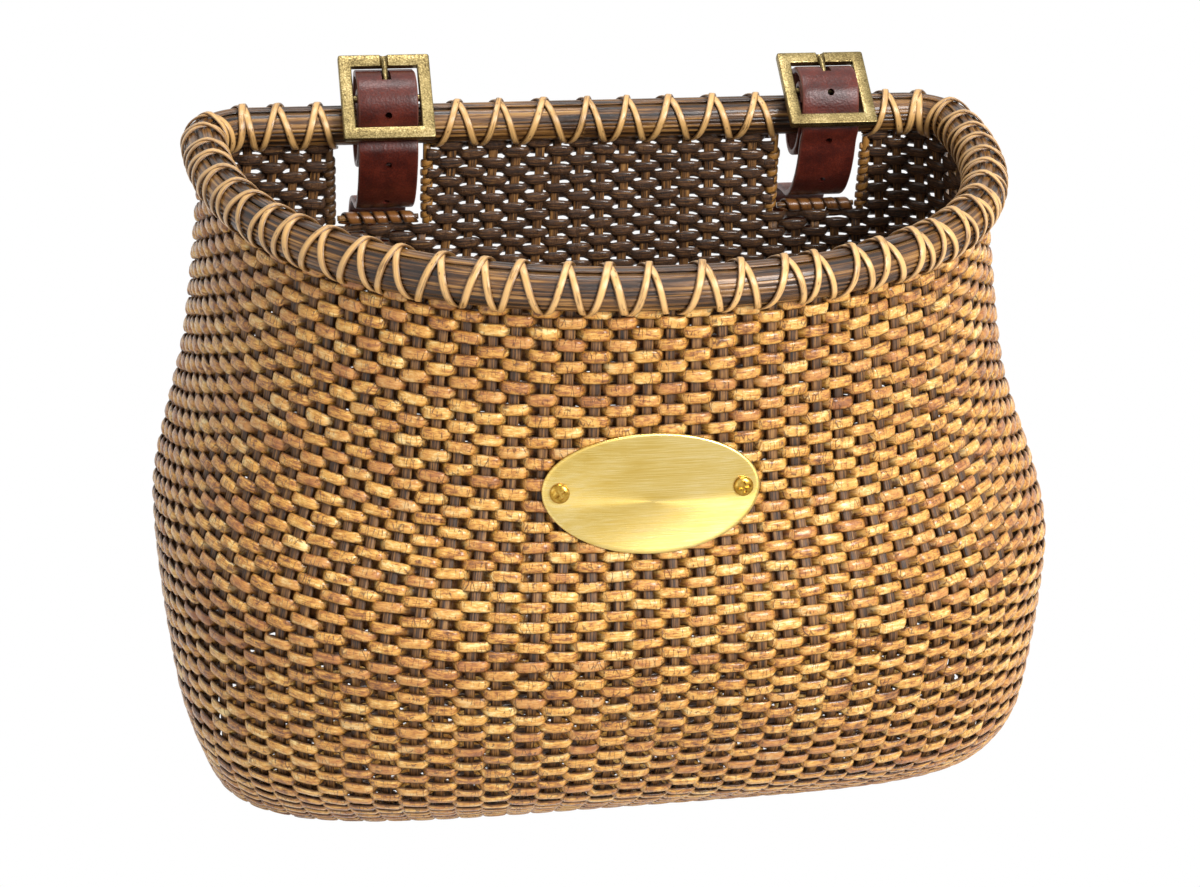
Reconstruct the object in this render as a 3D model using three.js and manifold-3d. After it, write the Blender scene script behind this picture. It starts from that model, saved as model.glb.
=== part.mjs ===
// A woven rattan handlebar basket with a laced rim and two buckled leather straps.
// X runs to the right, the open front faces -Y, the flat back faces +Y and Z is up.
// The origin is under the middle of the object, on the surface that it stands on. Lengths are millimetres.
import * as THREE from "three";
import { mergeVertices } from "three/addons/utils/BufferGeometryUtils.js";
import Module from "manifold-3d";

const wasm = await Module();
wasm.setup();

// Driving sizes of the woven body. A half width is from the middle plane, a reach from the plan's centre.
const rimHeight = 230;
const neckDrop = 13;
const footHalfWidth = 161;
const bellyHalfWidth = 178;
const rimHalfWidth = 155;
const footFront = 107;
const bellyFront = 163;
const rimFront = 127;
const footBack = 42.5;
const bellyBack = 45;
const rimBack = 48;
const footCorner = 57;
const bellyCorner = 46;
const rimCorner = 18;
const footSquareShare = 4.8;
const bellySquareShare = 2.8;
const rimSquareShare = 2.3;
const wallThickness = 6;
const tongueThickness = 3.4;
const thinningHeight = 10;
const baseThickness = 5;

// How far the body has swelled from foot or neck to belly, at shares of the neck's height
const swellShares = [
  { at: 0, swell: 0 },
  { at: 0.05, swell: 0.26 },
  { at: 0.16, swell: 0.7 },
  { at: 0.42, swell: 1 },
  { at: 0.72, swell: 0.34 },
  { at: 1, swell: 0 },
];
const wallLevelShares = [0, 0.02, 0.05, 0.1, 0.16, 0.24, 0.33, 0.42, 0.52, 0.6, 0.67, 0.74, 0.83];

// Rim: two half-round hoops clamp the wall's tongues, and a strip covers the joint
const hoopRadius = 8.15;
const hoopHeight = 13.6;
const capWidth = 4.6;
const capHeight = 1.1;
const capShoulderShare = 0.8;
const gap = 0.3;

// Lacing: flat cane wound both ways round the rim, one strand over the other
const caneWidth = 3;
const caneThickness = 1.1;
const lacePitch = 14.8;
const backLacePitch = 17.4;
const laceSteps = 8;
const laceClearOfBuckle = 1.6;
const laceParting = 4.4;
const notchWidth = 6;

// Leather straps
const strapSpacing = 183;
const strapMiddle = 10;
const strapWidth = 24;
const strapThickness = 2.4;
const strapHoleRadius = 1.5;
const tailHolePitch = 20;
const tailHoles = 4;
const leftFirstHole = 19.5;
const rightFirstHole = 15;
const tailOut = 27;

// Strap slots in the back, with a wrapped sill and beaded posts
const slotPlay = 5;
const slotWidth = strapWidth + 2 * slotPlay;
const leftSlotShift = -2.55;
const rightSlotShift = 0.95;
const sillDrop = 37.5;
const sillRodRadius = 1.2;
const sillWraps = 5;
const sillCaneWidth = 4.4;
const postRadius = 2.9;
const postWaist = 2.2;
const postBeads = 6;

// The strap's course across the rim, as sideways and upward shares. Its folded end is in shares of the
// fold's radius from the buckle's bar, and its loop in shares of the radius on which it lies round the pole.
// Its way through the buckle is in shares of half the window from the bar and of its height over the bar.
// Its hanging part is in shares of the reach in front of the pole or behind it, and of the sill's drop.
const foldEndShares = [
  [-1.9, 0.04],
  [-1.1, 0.57],
];
const loopShares = [
  [-1, -0.52],
  [-0.82, -1.08],
  [-0.42, -1.53],
  [0.06, -1.7],
  [0.52, -1.53],
  [0.88, -1.05],
  [1.05, -0.45],
  [1.08, 0.2],
  [1.12, 0.9],
];
const crossingShares = [
  [0.97, 0.46],
  [0.86, 0.64],
  [0.71, 0.81],
  [0.5, 0.93],
  [0.26, 0.99],
  [0, 1],
  [-0.3, 0.95],
  [-0.6, 0.8],
  [-0.84, 0.62],
  [-1.04, 0.51],
  [-1.22, 0.37],
];
const hangShares = [
  [-1.1, -0.18],
  [-1.03, -0.37],
  [-0.81, -0.58],
  [-0.41, -0.77],
];
const tailShares = [
  [0.07, -0.9],
  [0.37, -0.94],
  [0.65, -1],
  [0.86, -1.15],
  [0.97, -1.4],
  [1, -1.74],
];

// Brass buckle, in its own frame: X across, Y up the frame and Z out of it
const windowPlay = 1.3;
const buckleArm = 5.1;
const buckleWindow = strapWidth + 2 * windowPlay;
const buckleSize = buckleWindow + 2 * buckleArm;
const buckleThickness = 3.2;
const buckleBevel = 0.5;
const leftLean = THREE.MathUtils.degToRad(45);
const rightLean = THREE.MathUtils.degToRad(33);
const leftRise = 5.4;
const rightRise = 2.2;
const buckleOut = 13.8;
const barRadius = 1.5;
const barDrop = 1;
const prongRadius = 1.3;
const prongTipRadius = 1.1;
const prongRise = 2.7;
const prongOverhang = 0.4;
const eyeRadius = 3.1;
const eyeWidth = 4;
const prongLiftRoom = 2;
const prongHoleLength = 9.5;
const prongHoleDrop = 1.5;

// Oval plate on the front, with its two screws and nuts
const plateWidth = 80;
const plateHeight = 42;
const plateThickness = 1;
const plateDrop = 72.5;
const plateMiddle = rimHeight - plateDrop;
const plateShift = -7.2;
const plateEndShare = 0.02;
const screwSpacing = 67;
const screwHeadRadius = 3.6;
const screwHeadHeight = 1.7;
const screwDomeShares = [
  [1, 0.35],
  [0.72, 0.85],
];
const screwRadius = 1.5;
const screwTail = 1.2;
const nutRadius = 3.4;
const nutThickness = 2.2;

const cutOverrun = 8;
const planSteps = { back: 5, corner: 5, front: 18 };
const strapSteps = 90;
const foldSteps = 6;
const snugSteps = 3;
const leastWindingGap = 0.4;

const materials = {
  rattan: new THREE.MeshStandardMaterial({ color: 0xb98545, roughness: 0.55 }),
  pole: new THREE.MeshStandardMaterial({ color: 0x5a3517, roughness: 0.45 }),
  cane: new THREE.MeshStandardMaterial({ color: 0xd9a766, roughness: 0.5 }),
  wrap: new THREE.MeshStandardMaterial({ color: 0x9a5a22, roughness: 0.35 }),
  leather: new THREE.MeshStandardMaterial({ color: 0x5c1f17, roughness: 0.55 }),
  brass: new THREE.MeshStandardMaterial({ color: 0xa08a4a, roughness: 0.4, metalness: 1 }),
  plate: new THREE.MeshStandardMaterial({ color: 0xd9b25a, roughness: 0.3, metalness: 1 }),
};

const root = new THREE.Group();

// Mesh helpers
function add(parent, name, geometry, material) {
  const mesh = new THREE.Mesh(geometry, material);
  mesh.name = name;
  parent.add(mesh);
  return mesh;
}

function toSolid(geometry, matrix) {
  const bare = geometry.clone();
  if (matrix) bare.applyMatrix4(matrix);
  bare.deleteAttribute("normal");
  bare.deleteAttribute("uv");
  const merged = mergeVertices(bare, 1e-4);
  return new wasm.Manifold(
    new wasm.Mesh({
      numProp: 3,
      vertProperties: new Float32Array(merged.attributes.position.array),
      triVerts: new Uint32Array(merged.index.array),
    }),
  );
}

function toGeometry(solid) {
  const mesh = solid.getMesh();
  const geometry = new THREE.BufferGeometry();
  geometry.setAttribute("position", new THREE.BufferAttribute(mesh.vertProperties, 3));
  geometry.setIndex(new THREE.BufferAttribute(mesh.triVerts, 1));
  return geometry;
}

// Joins rings of equal length into one closed mesh. Rings that don't wrap are capped at both ends.
function loft(rings, wraps) {
  const count = rings.length;
  const size = rings[0].length;
  const index = [];
  for (let i = 0; i < (wraps ? count : count - 1); i++) {
    const here = i * size;
    const next = ((i + 1) % count) * size;
    for (let j = 0; j < size; j++) {
      const k = (j + 1) % size;
      index.push(here + j, here + k, next + j, here + k, next + k, next + j);
    }
  }
  if (!wraps) {
    const end = (count - 1) * size;
    for (let j = 1; j < size - 1; j++) {
      index.push(0, j + 1, j, end, end + j, end + j + 1);
    }
  }
  const points = rings.flat();
  let volume = 0;
  for (let i = 0; i < index.length; i += 3) {
    const [a, b, c] = [points[index[i]], points[index[i + 1]], points[index[i + 2]]];
    volume += a.dot(new THREE.Vector3().crossVectors(b, c));
  }
  if (volume < 0) index.reverse();
  const geometry = new THREE.BufferGeometry().setFromPoints(points);
  geometry.setIndex(index);
  return geometry;
}

function boxAt(width, depth, height, centre, turn = 0) {
  const matrix = new THREE.Matrix4().makeRotationZ(turn).setPosition(centre);
  return toSolid(new THREE.BoxGeometry(width, depth, height), matrix);
}

// Plan of the woven body
function swellAt(share) {
  const last = swellShares.length - 1;
  let i = 0;
  while (i < last - 1 && share > swellShares[i + 1].at) i++;
  const rise = (k) =>
    (swellShares[k + 1].swell - swellShares[k].swell) / (swellShares[k + 1].at - swellShares[k].at);
  const slope = (k) => {
    if (k === 0) return rise(0);
    if (k === last) return rise(last - 1);
    const [before, after] = [rise(k - 1), rise(k)];
    return before * after > 0 ? (2 * before * after) / (before + after) : 0;
  };
  const [from, to] = [swellShares[i], swellShares[i + 1]];
  const span = to.at - from.at;
  const t = THREE.MathUtils.clamp((share - from.at) / span, 0, 1);
  const [t2, t3] = [t * t, t * t * t];
  return (
    (2 * t3 - 3 * t2 + 1) * from.swell +
    (t3 - 2 * t2 + t) * span * slope(i) +
    (3 * t2 - 2 * t3) * to.swell +
    (t3 - t2) * span * slope(i + 1)
  );
}

const neckHeight = rimHeight - neckDrop;
const foot = {
  half: footHalfWidth,
  front: footFront,
  back: footBack,
  corner: footCorner,
  square: footSquareShare,
};
const belly = {
  half: bellyHalfWidth,
  front: bellyFront,
  back: bellyBack,
  corner: bellyCorner,
  square: bellySquareShare,
};
const neck = {
  half: rimHalfWidth,
  front: rimFront,
  back: rimBack,
  corner: rimCorner,
  square: rimSquareShare,
};
const bellyShare = swellShares.find((s) => s.swell === 1).at;

function sectionAt(height) {
  const share = THREE.MathUtils.clamp(height / neckHeight, 0, 1);
  const from = share < bellyShare ? foot : neck;
  const swell = swellAt(share);
  const section = {};
  for (const key of Object.keys(belly)) section[key] = from[key] + (belly[key] - from[key]) * swell;
  return section;
}

// One closed outline with its outward normals: flat back, round corners, curved front
function outlineAt(height) {
  const s = sectionAt(height);
  const side = s.back - s.corner;
  const depth = s.front + side;
  const half = [];
  for (let i = 0; i < planSteps.back; i++) {
    half.push(new THREE.Vector2(((s.half - s.corner) * i) / planSteps.back, s.back));
  }
  for (let i = 0; i < planSteps.corner; i++) {
    const a = ((Math.PI / 2) * i) / planSteps.corner;
    half.push(new THREE.Vector2(s.half - s.corner + s.corner * Math.sin(a), side + s.corner * Math.cos(a)));
  }
  for (let i = 0; i <= planSteps.front; i++) {
    const a = ((Math.PI / 2) * i) / planSteps.front;
    const [c, d] = [Math.cos(a), Math.sin(a)];
    const r = (c ** s.square + d ** s.square) ** (-1 / s.square);
    half.push(new THREE.Vector2(i === planSteps.front ? 0 : s.half * c * r, side - depth * d * r));
  }
  const mirrored = half.slice(1, -1).reverse();
  const points = [...half, ...mirrored.map((p) => new THREE.Vector2(-p.x, p.y))];
  return points.map((p, i) => {
    const before = points[(i + points.length - 1) % points.length];
    const after = points[(i + 1) % points.length];
    const tangent = after.clone().sub(before).normalize();
    return { p, n: new THREE.Vector2(-tangent.y, tangent.x) };
  });
}

function ringAt(height, offset) {
  return outlineAt(height).map(({ p, n }) => {
    const q = p.clone().addScaledVector(n, offset);
    return new THREE.Vector3(q.x, q.y, height);
  });
}

function halfThicknessAt(height) {
  const t = THREE.MathUtils.clamp((neckHeight - height) / thinningHeight, 0, 1);
  return (tongueThickness + (wallThickness - tongueThickness) * t) / 2;
}

// The rim's centre line, measured along its length from the middle of the back towards +X
const rimCurve = new THREE.CatmullRomCurve3(ringAt(rimHeight, 0), true);
rimCurve.arcLengthDivisions = 1200;
const rimLength = rimCurve.getLength();

function rimFrame(distance) {
  const share = (((distance / rimLength) % 1) + 1) % 1;
  const tangent = rimCurve.getTangentAt(share);
  return { point: rimCurve.getPointAt(share), tangent, out: new THREE.Vector3(-tangent.y, tangent.x, 0) };
}

// Where the straps are along the back, each with its slot a little off its middle
const strapXs = [-1, 1].map((side) => strapMiddle + (side * strapSpacing) / 2);
const slotXs = [strapXs[0] + leftSlotShift, strapXs[1] + rightSlotShift];
const sides = ["left", "right"];

// Lacing runs: left and right of the front's middle, and the back between the straps
const laceStart = buckleSize / 2 + laceClearOfBuckle;
const laceRuns = [
  { name: "right", from: strapXs[1] + laceStart, to: (rimLength - laceParting) / 2 },
  { name: "left", from: (rimLength + laceParting) / 2, to: rimLength + strapXs[0] - laceStart },
  { name: "back", from: strapXs[0] + laceStart, to: strapXs[1] - laceStart },
];
for (const run of laceRuns) {
  const pitch = run.name === "back" ? backLacePitch : lacePitch;
  run.wraps = Math.round((run.to - run.from) / pitch);
}

// A step's chord cuts inside the circle that it follows, so a winding stands off by that much
const chordShare = 1 / Math.cos(Math.PI / laceSteps);
const underRadius = (hoopRadius + gap + caneThickness / 2) * chordShare;
const overRadius = underRadius + caneThickness + leastWindingGap;
const sillWrapRadius = (sillRodRadius + gap + caneThickness / 2) * chordShare;
const sillOuterRadius = sillWrapRadius + caneThickness / 2;
const sillHeight = rimHeight - sillDrop - sillOuterRadius;
const slotFloor = sillHeight - sillOuterRadius - gap;
const notchFloor = rimHeight - overRadius - caneThickness / 2 - 2 * gap;

// A flat strip wound round an axis, as one tube of four-cornered rings
function winding(name, centreAt, turns, steps, turnSense, radius, width, thickness) {
  const count = Math.round(turns * steps);
  const path = [];
  for (let i = 0; i <= count; i++) {
    const angle = -Math.PI / 2 + turnSense * 2 * Math.PI * (i / steps);
    const { point, out } = centreAt(i / count);
    const radial = out.clone().multiplyScalar(Math.cos(angle));
    radial.z = Math.sin(angle);
    path.push({ radial, point: point.clone().addScaledVector(radial, radius) });
  }
  const rings = path.map(({ radial, point }, i) => {
    const before = path[Math.max(i - 1, 0)].point;
    const after = path[Math.min(i + 1, count)].point;
    const across = new THREE.Vector3().crossVectors(radial, after.clone().sub(before)).normalize();
    const corner = (w, t) =>
      point.clone().addScaledVector(across, (w * width) / 2).addScaledVector(radial, (t * thickness) / 2);
    return [corner(-1, -1), corner(1, -1), corner(1, 1), corner(-1, 1)];
  });
  let least = Infinity;
  for (let i = 0; i <= count; i++) {
    for (let j = i + Math.ceil(steps / 2); j <= count; j++) {
      for (const a of rings[i]) for (const b of rings[j]) least = Math.min(least, a.distanceTo(b));
    }
  }
  console.log(`${name}: least gap to itself ${least.toFixed(2)} mm`);
  if (least < leastWindingGap) throw new Error(`${name} touches itself`);
  return loft(rings, false);
}

// Woven body
const wallLevels = wallLevelShares.map((share) => share * neckHeight);
wallLevels.push(neckHeight - thinningHeight, neckHeight);

function wallGeometry() {
  const levels = [...wallLevels, rimHeight + hoopHeight / 2];
  const outer = levels.map((z) => ringAt(z, halfThicknessAt(z)));
  const inner = levels.map((z) => ringAt(z, -halfThicknessAt(z))).reverse();
  let wall = toSolid(loft([...outer, ...inner], true));
  const top = rimHeight + hoopHeight;
  const cutDepth = wallThickness + cutOverrun;
  for (const x of slotXs) {
    const height = top - slotFloor;
    const width = slotWidth + 4 * postRadius + 2 * gap;
    const middle = new THREE.Vector3(x, rimBack, slotFloor + height / 2);
    wall = wall.subtract(boxAt(width, cutDepth, height, middle));
  }
  const notchHeight = top - notchFloor;
  for (const run of laceRuns) {
    for (let k = 0; k <= run.wraps; k++) {
      const { point, tangent } = rimFrame(run.from + ((run.to - run.from) * k) / run.wraps);
      const centre = point.clone().setZ(top - notchHeight / 2);
      const turn = Math.atan2(tangent.y, tangent.x);
      wall = wall.subtract(boxAt(notchWidth, cutDepth, notchHeight, centre, turn));
    }
  }
  for (const bore of screwBores(wallThickness + cutOverrun)) wall = wall.subtract(bore);
  return toGeometry(wall);
}

function baseGeometry() {
  const inset = -wallThickness / 2 - gap;
  const shape = new THREE.Shape(ringAt(0, inset).map((p) => new THREE.Vector2(p.x, p.y)));
  return new THREE.ExtrudeGeometry(shape, { depth: baseThickness, bevelEnabled: false });
}

// Rim hoops: half-round sections, flat towards the tongues
function hoopGeometry(side) {
  const flat = tongueThickness / 2 + gap;
  const edge = Math.asin(hoopHeight / 2 / hoopRadius);
  const section = [new THREE.Vector2(flat, hoopHeight / 2)];
  const arcSteps = 4;
  for (let i = 0; i <= arcSteps; i++) {
    const a = edge * (1 - (2 * i) / arcSteps);
    section.push(new THREE.Vector2(hoopRadius * Math.cos(a), hoopRadius * Math.sin(a)));
  }
  section.push(new THREE.Vector2(flat, -hoopHeight / 2));
  return loft(section.map((q) => rimRing(side * q.x, q.y)), true);
}

function rimRing(offset, rise) {
  return ringAt(rimHeight, offset).map((p) => p.setZ(rimHeight + rise));
}

function capGeometry() {
  const seat = hoopHeight / 2 + gap;
  const crown = [
    [-capWidth / 2, seat],
    [capWidth / 2, seat],
    [capWidth / 3, seat + capHeight * capShoulderShare],
    [0, seat + capHeight],
    [-capWidth / 3, seat + capHeight * capShoulderShare],
  ];
  return loft(crown.map(([offset, rise]) => rimRing(offset, rise)), true);
}

function laceGeometry(run, strand) {
  const centreAt = (t) => rimFrame(run.from + (run.to - run.from) * t);
  const over = strand === "over";
  const name = `lacing_${run.name}_${strand}`;
  const radius = over ? overRadius : underRadius;
  return winding(name, centreAt, run.wraps, laceSteps, over ? -1 : 1, radius, caneWidth, caneThickness);
}

// Slot edges
function postGeometry() {
  const height = notchFloor - slotFloor - gap;
  const profile = [new THREE.Vector2(0, 0)];
  for (let i = 0; i < postBeads; i++) {
    profile.push(new THREE.Vector2(postWaist, (height * i) / postBeads));
    profile.push(new THREE.Vector2(postRadius, (height * (i + 0.5)) / postBeads));
  }
  profile.push(new THREE.Vector2(postWaist, height), new THREE.Vector2(0, height));
  return new THREE.LatheGeometry(profile, 7).rotateX(Math.PI / 2);
}

function sillWrapGeometry(name, x) {
  const reach = slotWidth / 2 - sillCaneWidth / 2 - gap;
  const centreAt = (t) => ({
    point: new THREE.Vector3(x - reach + 2 * reach * t, rimBack, sillHeight),
    out: new THREE.Vector3(0, 1, 0),
  });
  return winding(name, centreAt, sillWraps, laceSteps, 1, sillWrapRadius, sillCaneWidth, caneThickness);
}

// Strap path in the plane across the rim, as sideways and upward offsets from the rim's centre.
// It folds round the buckle's bar, rounds the pole once, comes over the bar and hangs through the slot.
const barOut = buckleOut - barDrop;
const hangers = [
  { side: "left", x: strapXs[0], lean: leftLean, rise: leftRise, firstHole: leftFirstHole },
  { side: "right", x: strapXs[1], lean: rightLean, rise: rightRise, firstHole: rightFirstHole },
];

// A point given up along a hanger's leaning buckle from its middle, and out from the pole's middle
function onBuckle({ lean, rise }, up, out) {
  const along = rise + up;
  return new THREE.Vector2(
    along * Math.cos(lean) - out * Math.sin(lean),
    along * Math.sin(lean) + out * Math.cos(lean),
  );
}

function strapPath(hanger) {
  const fold = barRadius + gap + strapThickness / 2;
  const snug = hoopRadius + gap + strapThickness / 2;
  const overBar = barOut + fold + strapThickness + 2 * gap;
  const hang = snug + strapThickness + 2 * gap;
  const points = foldEndShares.map(([up, out]) => onBuckle(hanger, up * fold, barOut + out * fold));
  for (let i = 0; i <= foldSteps; i++) {
    const a = Math.PI / 2 - (Math.PI * i) / foldSteps;
    points.push(onBuckle(hanger, fold * Math.cos(a), barOut + fold * Math.sin(a)));
  }
  const touch = Math.PI / 2 + hanger.lean;
  for (let i = 0; i < snugSteps; i++) {
    const a = touch + ((Math.PI - touch) * i) / (snugSteps - 1);
    points.push(new THREE.Vector2(snug * Math.cos(a), snug * Math.sin(a)));
  }
  const run = (shares, width, height) => {
    for (const [across, rise] of shares) points.push(new THREE.Vector2(across * width, rise * height));
  };
  run(loopShares, snug, snug);
  for (const [up, out] of crossingShares) {
    points.push(onBuckle(hanger, (up * buckleWindow) / 2, out * overBar));
  }
  run(hangShares, hang, sillDrop);
  run(tailShares, tailOut, sillDrop);
  return new THREE.SplineCurve(points);
}

for (const hanger of hangers) {
  const curve = strapPath(hanger);
  hanger.points = curve.getSpacedPoints(strapSteps);
  hanger.length = curve.getLength();
}
const tailReach = Math.max(...hangers[0].points.map((p) => p.x)) + strapThickness / 2;

function strapNormal(points, i) {
  const before = points[Math.max(i - 1, 0)];
  const after = points[Math.min(i + 1, strapSteps)];
  const tangent = after.clone().sub(before).normalize();
  return new THREE.Vector2(-tangent.y, tangent.x);
}

// The step at which the strap's free part rises through the prong's height, above the bar
function prongStep(hanger) {
  const bar = onBuckle(hanger, 0, barOut);
  const upward = new THREE.Vector2(Math.cos(hanger.lean), Math.sin(hanger.lean));
  const outward = new THREE.Vector2(-upward.y, upward.x);
  const miss = hanger.points.map((p) => {
    const from = p.clone().sub(bar);
    return from.dot(upward) > eyeRadius + gap ? Math.abs(from.dot(outward) - prongRise) : Infinity;
  });
  return miss.indexOf(Math.min(...miss));
}

// Turns a profile drawn across the rim so that its thickness lies along X
const diagonal = new THREE.Vector3(1, 1, 1).normalize();
const acrossX = new THREE.Quaternion().setFromAxisAngle(diagonal, (2 * Math.PI) / 3);

const prongOut = prongRise - barDrop;

function strapGeometry(hanger) {
  const { points, lean } = hanger;
  const sideOf = (sign) =>
    points.map((p, i) => p.clone().addScaledVector(strapNormal(points, i), (sign * strapThickness) / 2));
  const outline = [...sideOf(1), ...sideOf(-1).reverse()];
  const shape = new THREE.Shape(outline);
  const band = new THREE.ExtrudeGeometry(shape, { depth: strapWidth, bevelEnabled: false });
  band.translate(0, 0, -strapWidth / 2);
  let strap = toSolid(band);
  const pinned = prongStep(hanger);
  for (let k = 0; k < tailHoles; k++) {
    const along = hanger.firstHole + k * tailHolePitch;
    const i = pinned + Math.round((along / hanger.length) * strapSteps);
    const normal = strapNormal(points, i);
    const matrix = new THREE.Matrix4().makeRotationZ(Math.atan2(normal.y, normal.x) - Math.PI / 2);
    matrix.setPosition(points[i].x, points[i].y, 0);
    const hole = new THREE.CylinderGeometry(strapHoleRadius, strapHoleRadius, 2 * strapThickness, 8);
    strap = strap.subtract(toSolid(hole, matrix));
  }
  // Room for the prong's eye in the fold, and for its shank where it comes through the free part
  const turned = new THREE.Matrix4().makeRotationZ(lean);
  const foldRoom = 2 * (barRadius + gap + strapThickness) + gap;
  const eyeRoom = new THREE.BoxGeometry(foldRoom, foldRoom, eyeWidth + 4 * gap);
  const bar = onBuckle(hanger, 0, barOut);
  strap = strap.subtract(toSolid(eyeRoom, turned.clone().setPosition(bar.x, bar.y, 0)));
  const shankWidth = 2 * (prongRadius + 2 * gap);
  const shankRoom = new THREE.BoxGeometry(prongHoleLength, shankWidth + prongLiftRoom, shankWidth);
  const upward = new THREE.Vector2(Math.cos(lean), Math.sin(lean));
  const pinnedUp = points[pinned].clone().sub(onBuckle(hanger, 0, 0)).dot(upward);
  const through = onBuckle(hanger, pinnedUp - prongHoleDrop, buckleOut + prongOut + prongLiftRoom / 2);
  strap = strap.subtract(toSolid(shankRoom, turned.clone().setPosition(through.x, through.y, 0)));
  return toGeometry(strap);
}

// Buckle frame in its own axes, with its bar across the window and a rest for the prong's tip
function squareOutline(size) {
  const h = size / 2;
  const corners = [
    [-h, -h],
    [h, -h],
    [h, h],
    [-h, h],
  ];
  return corners.map(([x, y]) => new THREE.Vector2(x, y));
}

function buckleGeometry() {
  const shape = new THREE.Shape(squareOutline(buckleSize - 2 * buckleBevel));
  shape.holes.push(new THREE.Path(squareOutline(buckleWindow + 2 * buckleBevel)));
  const frame = new THREE.ExtrudeGeometry(shape, {
    depth: buckleThickness - 2 * buckleBevel,
    bevelThickness: buckleBevel,
    bevelSize: buckleBevel,
    bevelSegments: 1,
  });
  frame.translate(0, 0, buckleBevel - buckleThickness / 2);
  const bar = new THREE.CylinderGeometry(barRadius, barRadius, (buckleSize + buckleWindow) / 2, 8);
  bar.rotateZ(Math.PI / 2).translate(0, 0, -barDrop);
  const restRadius = prongRadius + gap;
  const rest = new THREE.CylinderGeometry(restRadius, restRadius, buckleSize - buckleWindow, 8);
  rest.translate(0, (buckleSize + buckleWindow) / 4, prongOut);
  return toGeometry(toSolid(frame).add(toSolid(bar)).subtract(toSolid(rest)));
}

function prongGeometry() {
  const eye = new THREE.CylinderGeometry(eyeRadius, eyeRadius, eyeWidth, 12);
  eye.rotateZ(Math.PI / 2).translate(0, 0, -barDrop);
  const bore = new THREE.CylinderGeometry(barRadius + gap, barRadius + gap, eyeWidth + cutOverrun, 12);
  bore.rotateZ(Math.PI / 2).translate(0, 0, -barDrop);
  const reach = (buckleSize + buckleWindow) / 4 + prongOverhang;
  const shank = new THREE.CylinderGeometry(prongTipRadius, prongRadius, reach, 8);
  shank.translate(0, reach / 2, prongOut);
  return toGeometry(toSolid(eye).add(toSolid(shank)).subtract(toSolid(bore)));
}

// Front plate, bent to the wall, whose face is straight from level to level
function frontFaceAt(x, z) {
  const i = wallLevels.findIndex((level) => level >= z);
  const [low, high] = [wallLevels[i - 1], wallLevels[i]];
  return THREE.MathUtils.mapLinear(z, low, high, curvedFaceAt(x, low), curvedFaceAt(x, high));
}

function curvedFaceAt(x, z) {
  const s = sectionAt(z);
  const out = halfThicknessAt(z);
  const side = s.back - s.corner;
  const share = Math.min(Math.abs(x) / (s.half + out), 1);
  return side - (s.front + side + out) * (1 - share ** s.square) ** (1 / s.square);
}

function plateGeometry() {
  const columns = 18;
  const rows = 4;
  const rings = [];
  for (let i = 0; i <= columns; i++) {
    const angle = Math.PI * THREE.MathUtils.lerp(plateEndShare, 1 - plateEndShare, i / columns);
    const x = plateShift - (plateWidth / 2) * Math.cos(angle);
    const half = (plateHeight / 2) * Math.sin(angle);
    const face = (lift) => {
      const line = [];
      for (let j = 0; j <= rows; j++) {
        const z = plateMiddle + half * ((2 * j) / rows - 1);
        line.push(new THREE.Vector3(x, frontFaceAt(x, z) - gap - lift, z));
      }
      return line;
    };
    rings.push([...face(plateThickness), ...face(0).reverse()]);
  }
  let plate = toSolid(loft(rings, false));
  for (const bore of screwBores(wallThickness + cutOverrun)) plate = plate.subtract(bore);
  return toGeometry(plate);
}

const screwXs = [-1, 1].map((side) => plateShift + (side * screwSpacing) / 2);

// Where a screw goes through the wall's face, and the turn that takes it from -Y to square on the face
function screwSeat(x) {
  const point = new THREE.Vector3(x, frontFaceAt(x, plateMiddle), plateMiddle);
  const run = frontFaceAt(x + gap, plateMiddle) - point.y;
  const rise = frontFaceAt(x, plateMiddle + gap) - point.y;
  const outward = new THREE.Vector3(run, -gap, rise).normalize();
  return { point, turn: new THREE.Quaternion().setFromUnitVectors(new THREE.Vector3(0, -1, 0), outward) };
}

function screwBores(length) {
  return screwXs.map((x) => {
    const { point, turn } = screwSeat(x);
    const radius = screwRadius + gap;
    const matrix = new THREE.Matrix4().makeRotationFromQuaternion(turn).setPosition(point);
    return toSolid(new THREE.CylinderGeometry(radius, radius, 2 * length, 10), matrix);
  });
}

function screwGeometry() {
  const inner = -(wallThickness + gap + nutThickness + screwTail);
  const seat = gap + plateThickness + gap;
  const profile = [
    new THREE.Vector2(0, inner),
    new THREE.Vector2(screwRadius, inner),
    new THREE.Vector2(screwRadius, seat),
    new THREE.Vector2(screwHeadRadius, seat),
    ...screwDomeShares.map(([r, h]) => new THREE.Vector2(r * screwHeadRadius, seat + h * screwHeadHeight)),
    new THREE.Vector2(0, seat + screwHeadHeight),
  ];
  return new THREE.LatheGeometry(profile, 14).rotateX(Math.PI);
}

function nutGeometry() {
  const nut = new THREE.CylinderGeometry(nutRadius, nutRadius, nutThickness, 6);
  const boreRadius = screwRadius + gap;
  const bore = new THREE.CylinderGeometry(boreRadius, boreRadius, nutThickness + cutOverrun, 10);
  return toGeometry(toSolid(nut).subtract(toSolid(bore)));
}

// Assembly
add(root, "woven_wall", wallGeometry(), materials.rattan);
add(root, "woven_base", baseGeometry(), materials.rattan);
add(root, "rim_outer_hoop", hoopGeometry(1), materials.pole);
add(root, "rim_inner_hoop", hoopGeometry(-1), materials.pole);
add(root, "rim_cap_strip", capGeometry(), materials.pole);
for (const run of laceRuns) {
  for (const strand of ["under", "over"]) {
    add(root, `lacing_${run.name}_${strand}`, laceGeometry(run, strand), materials.cane);
  }
}

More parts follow.
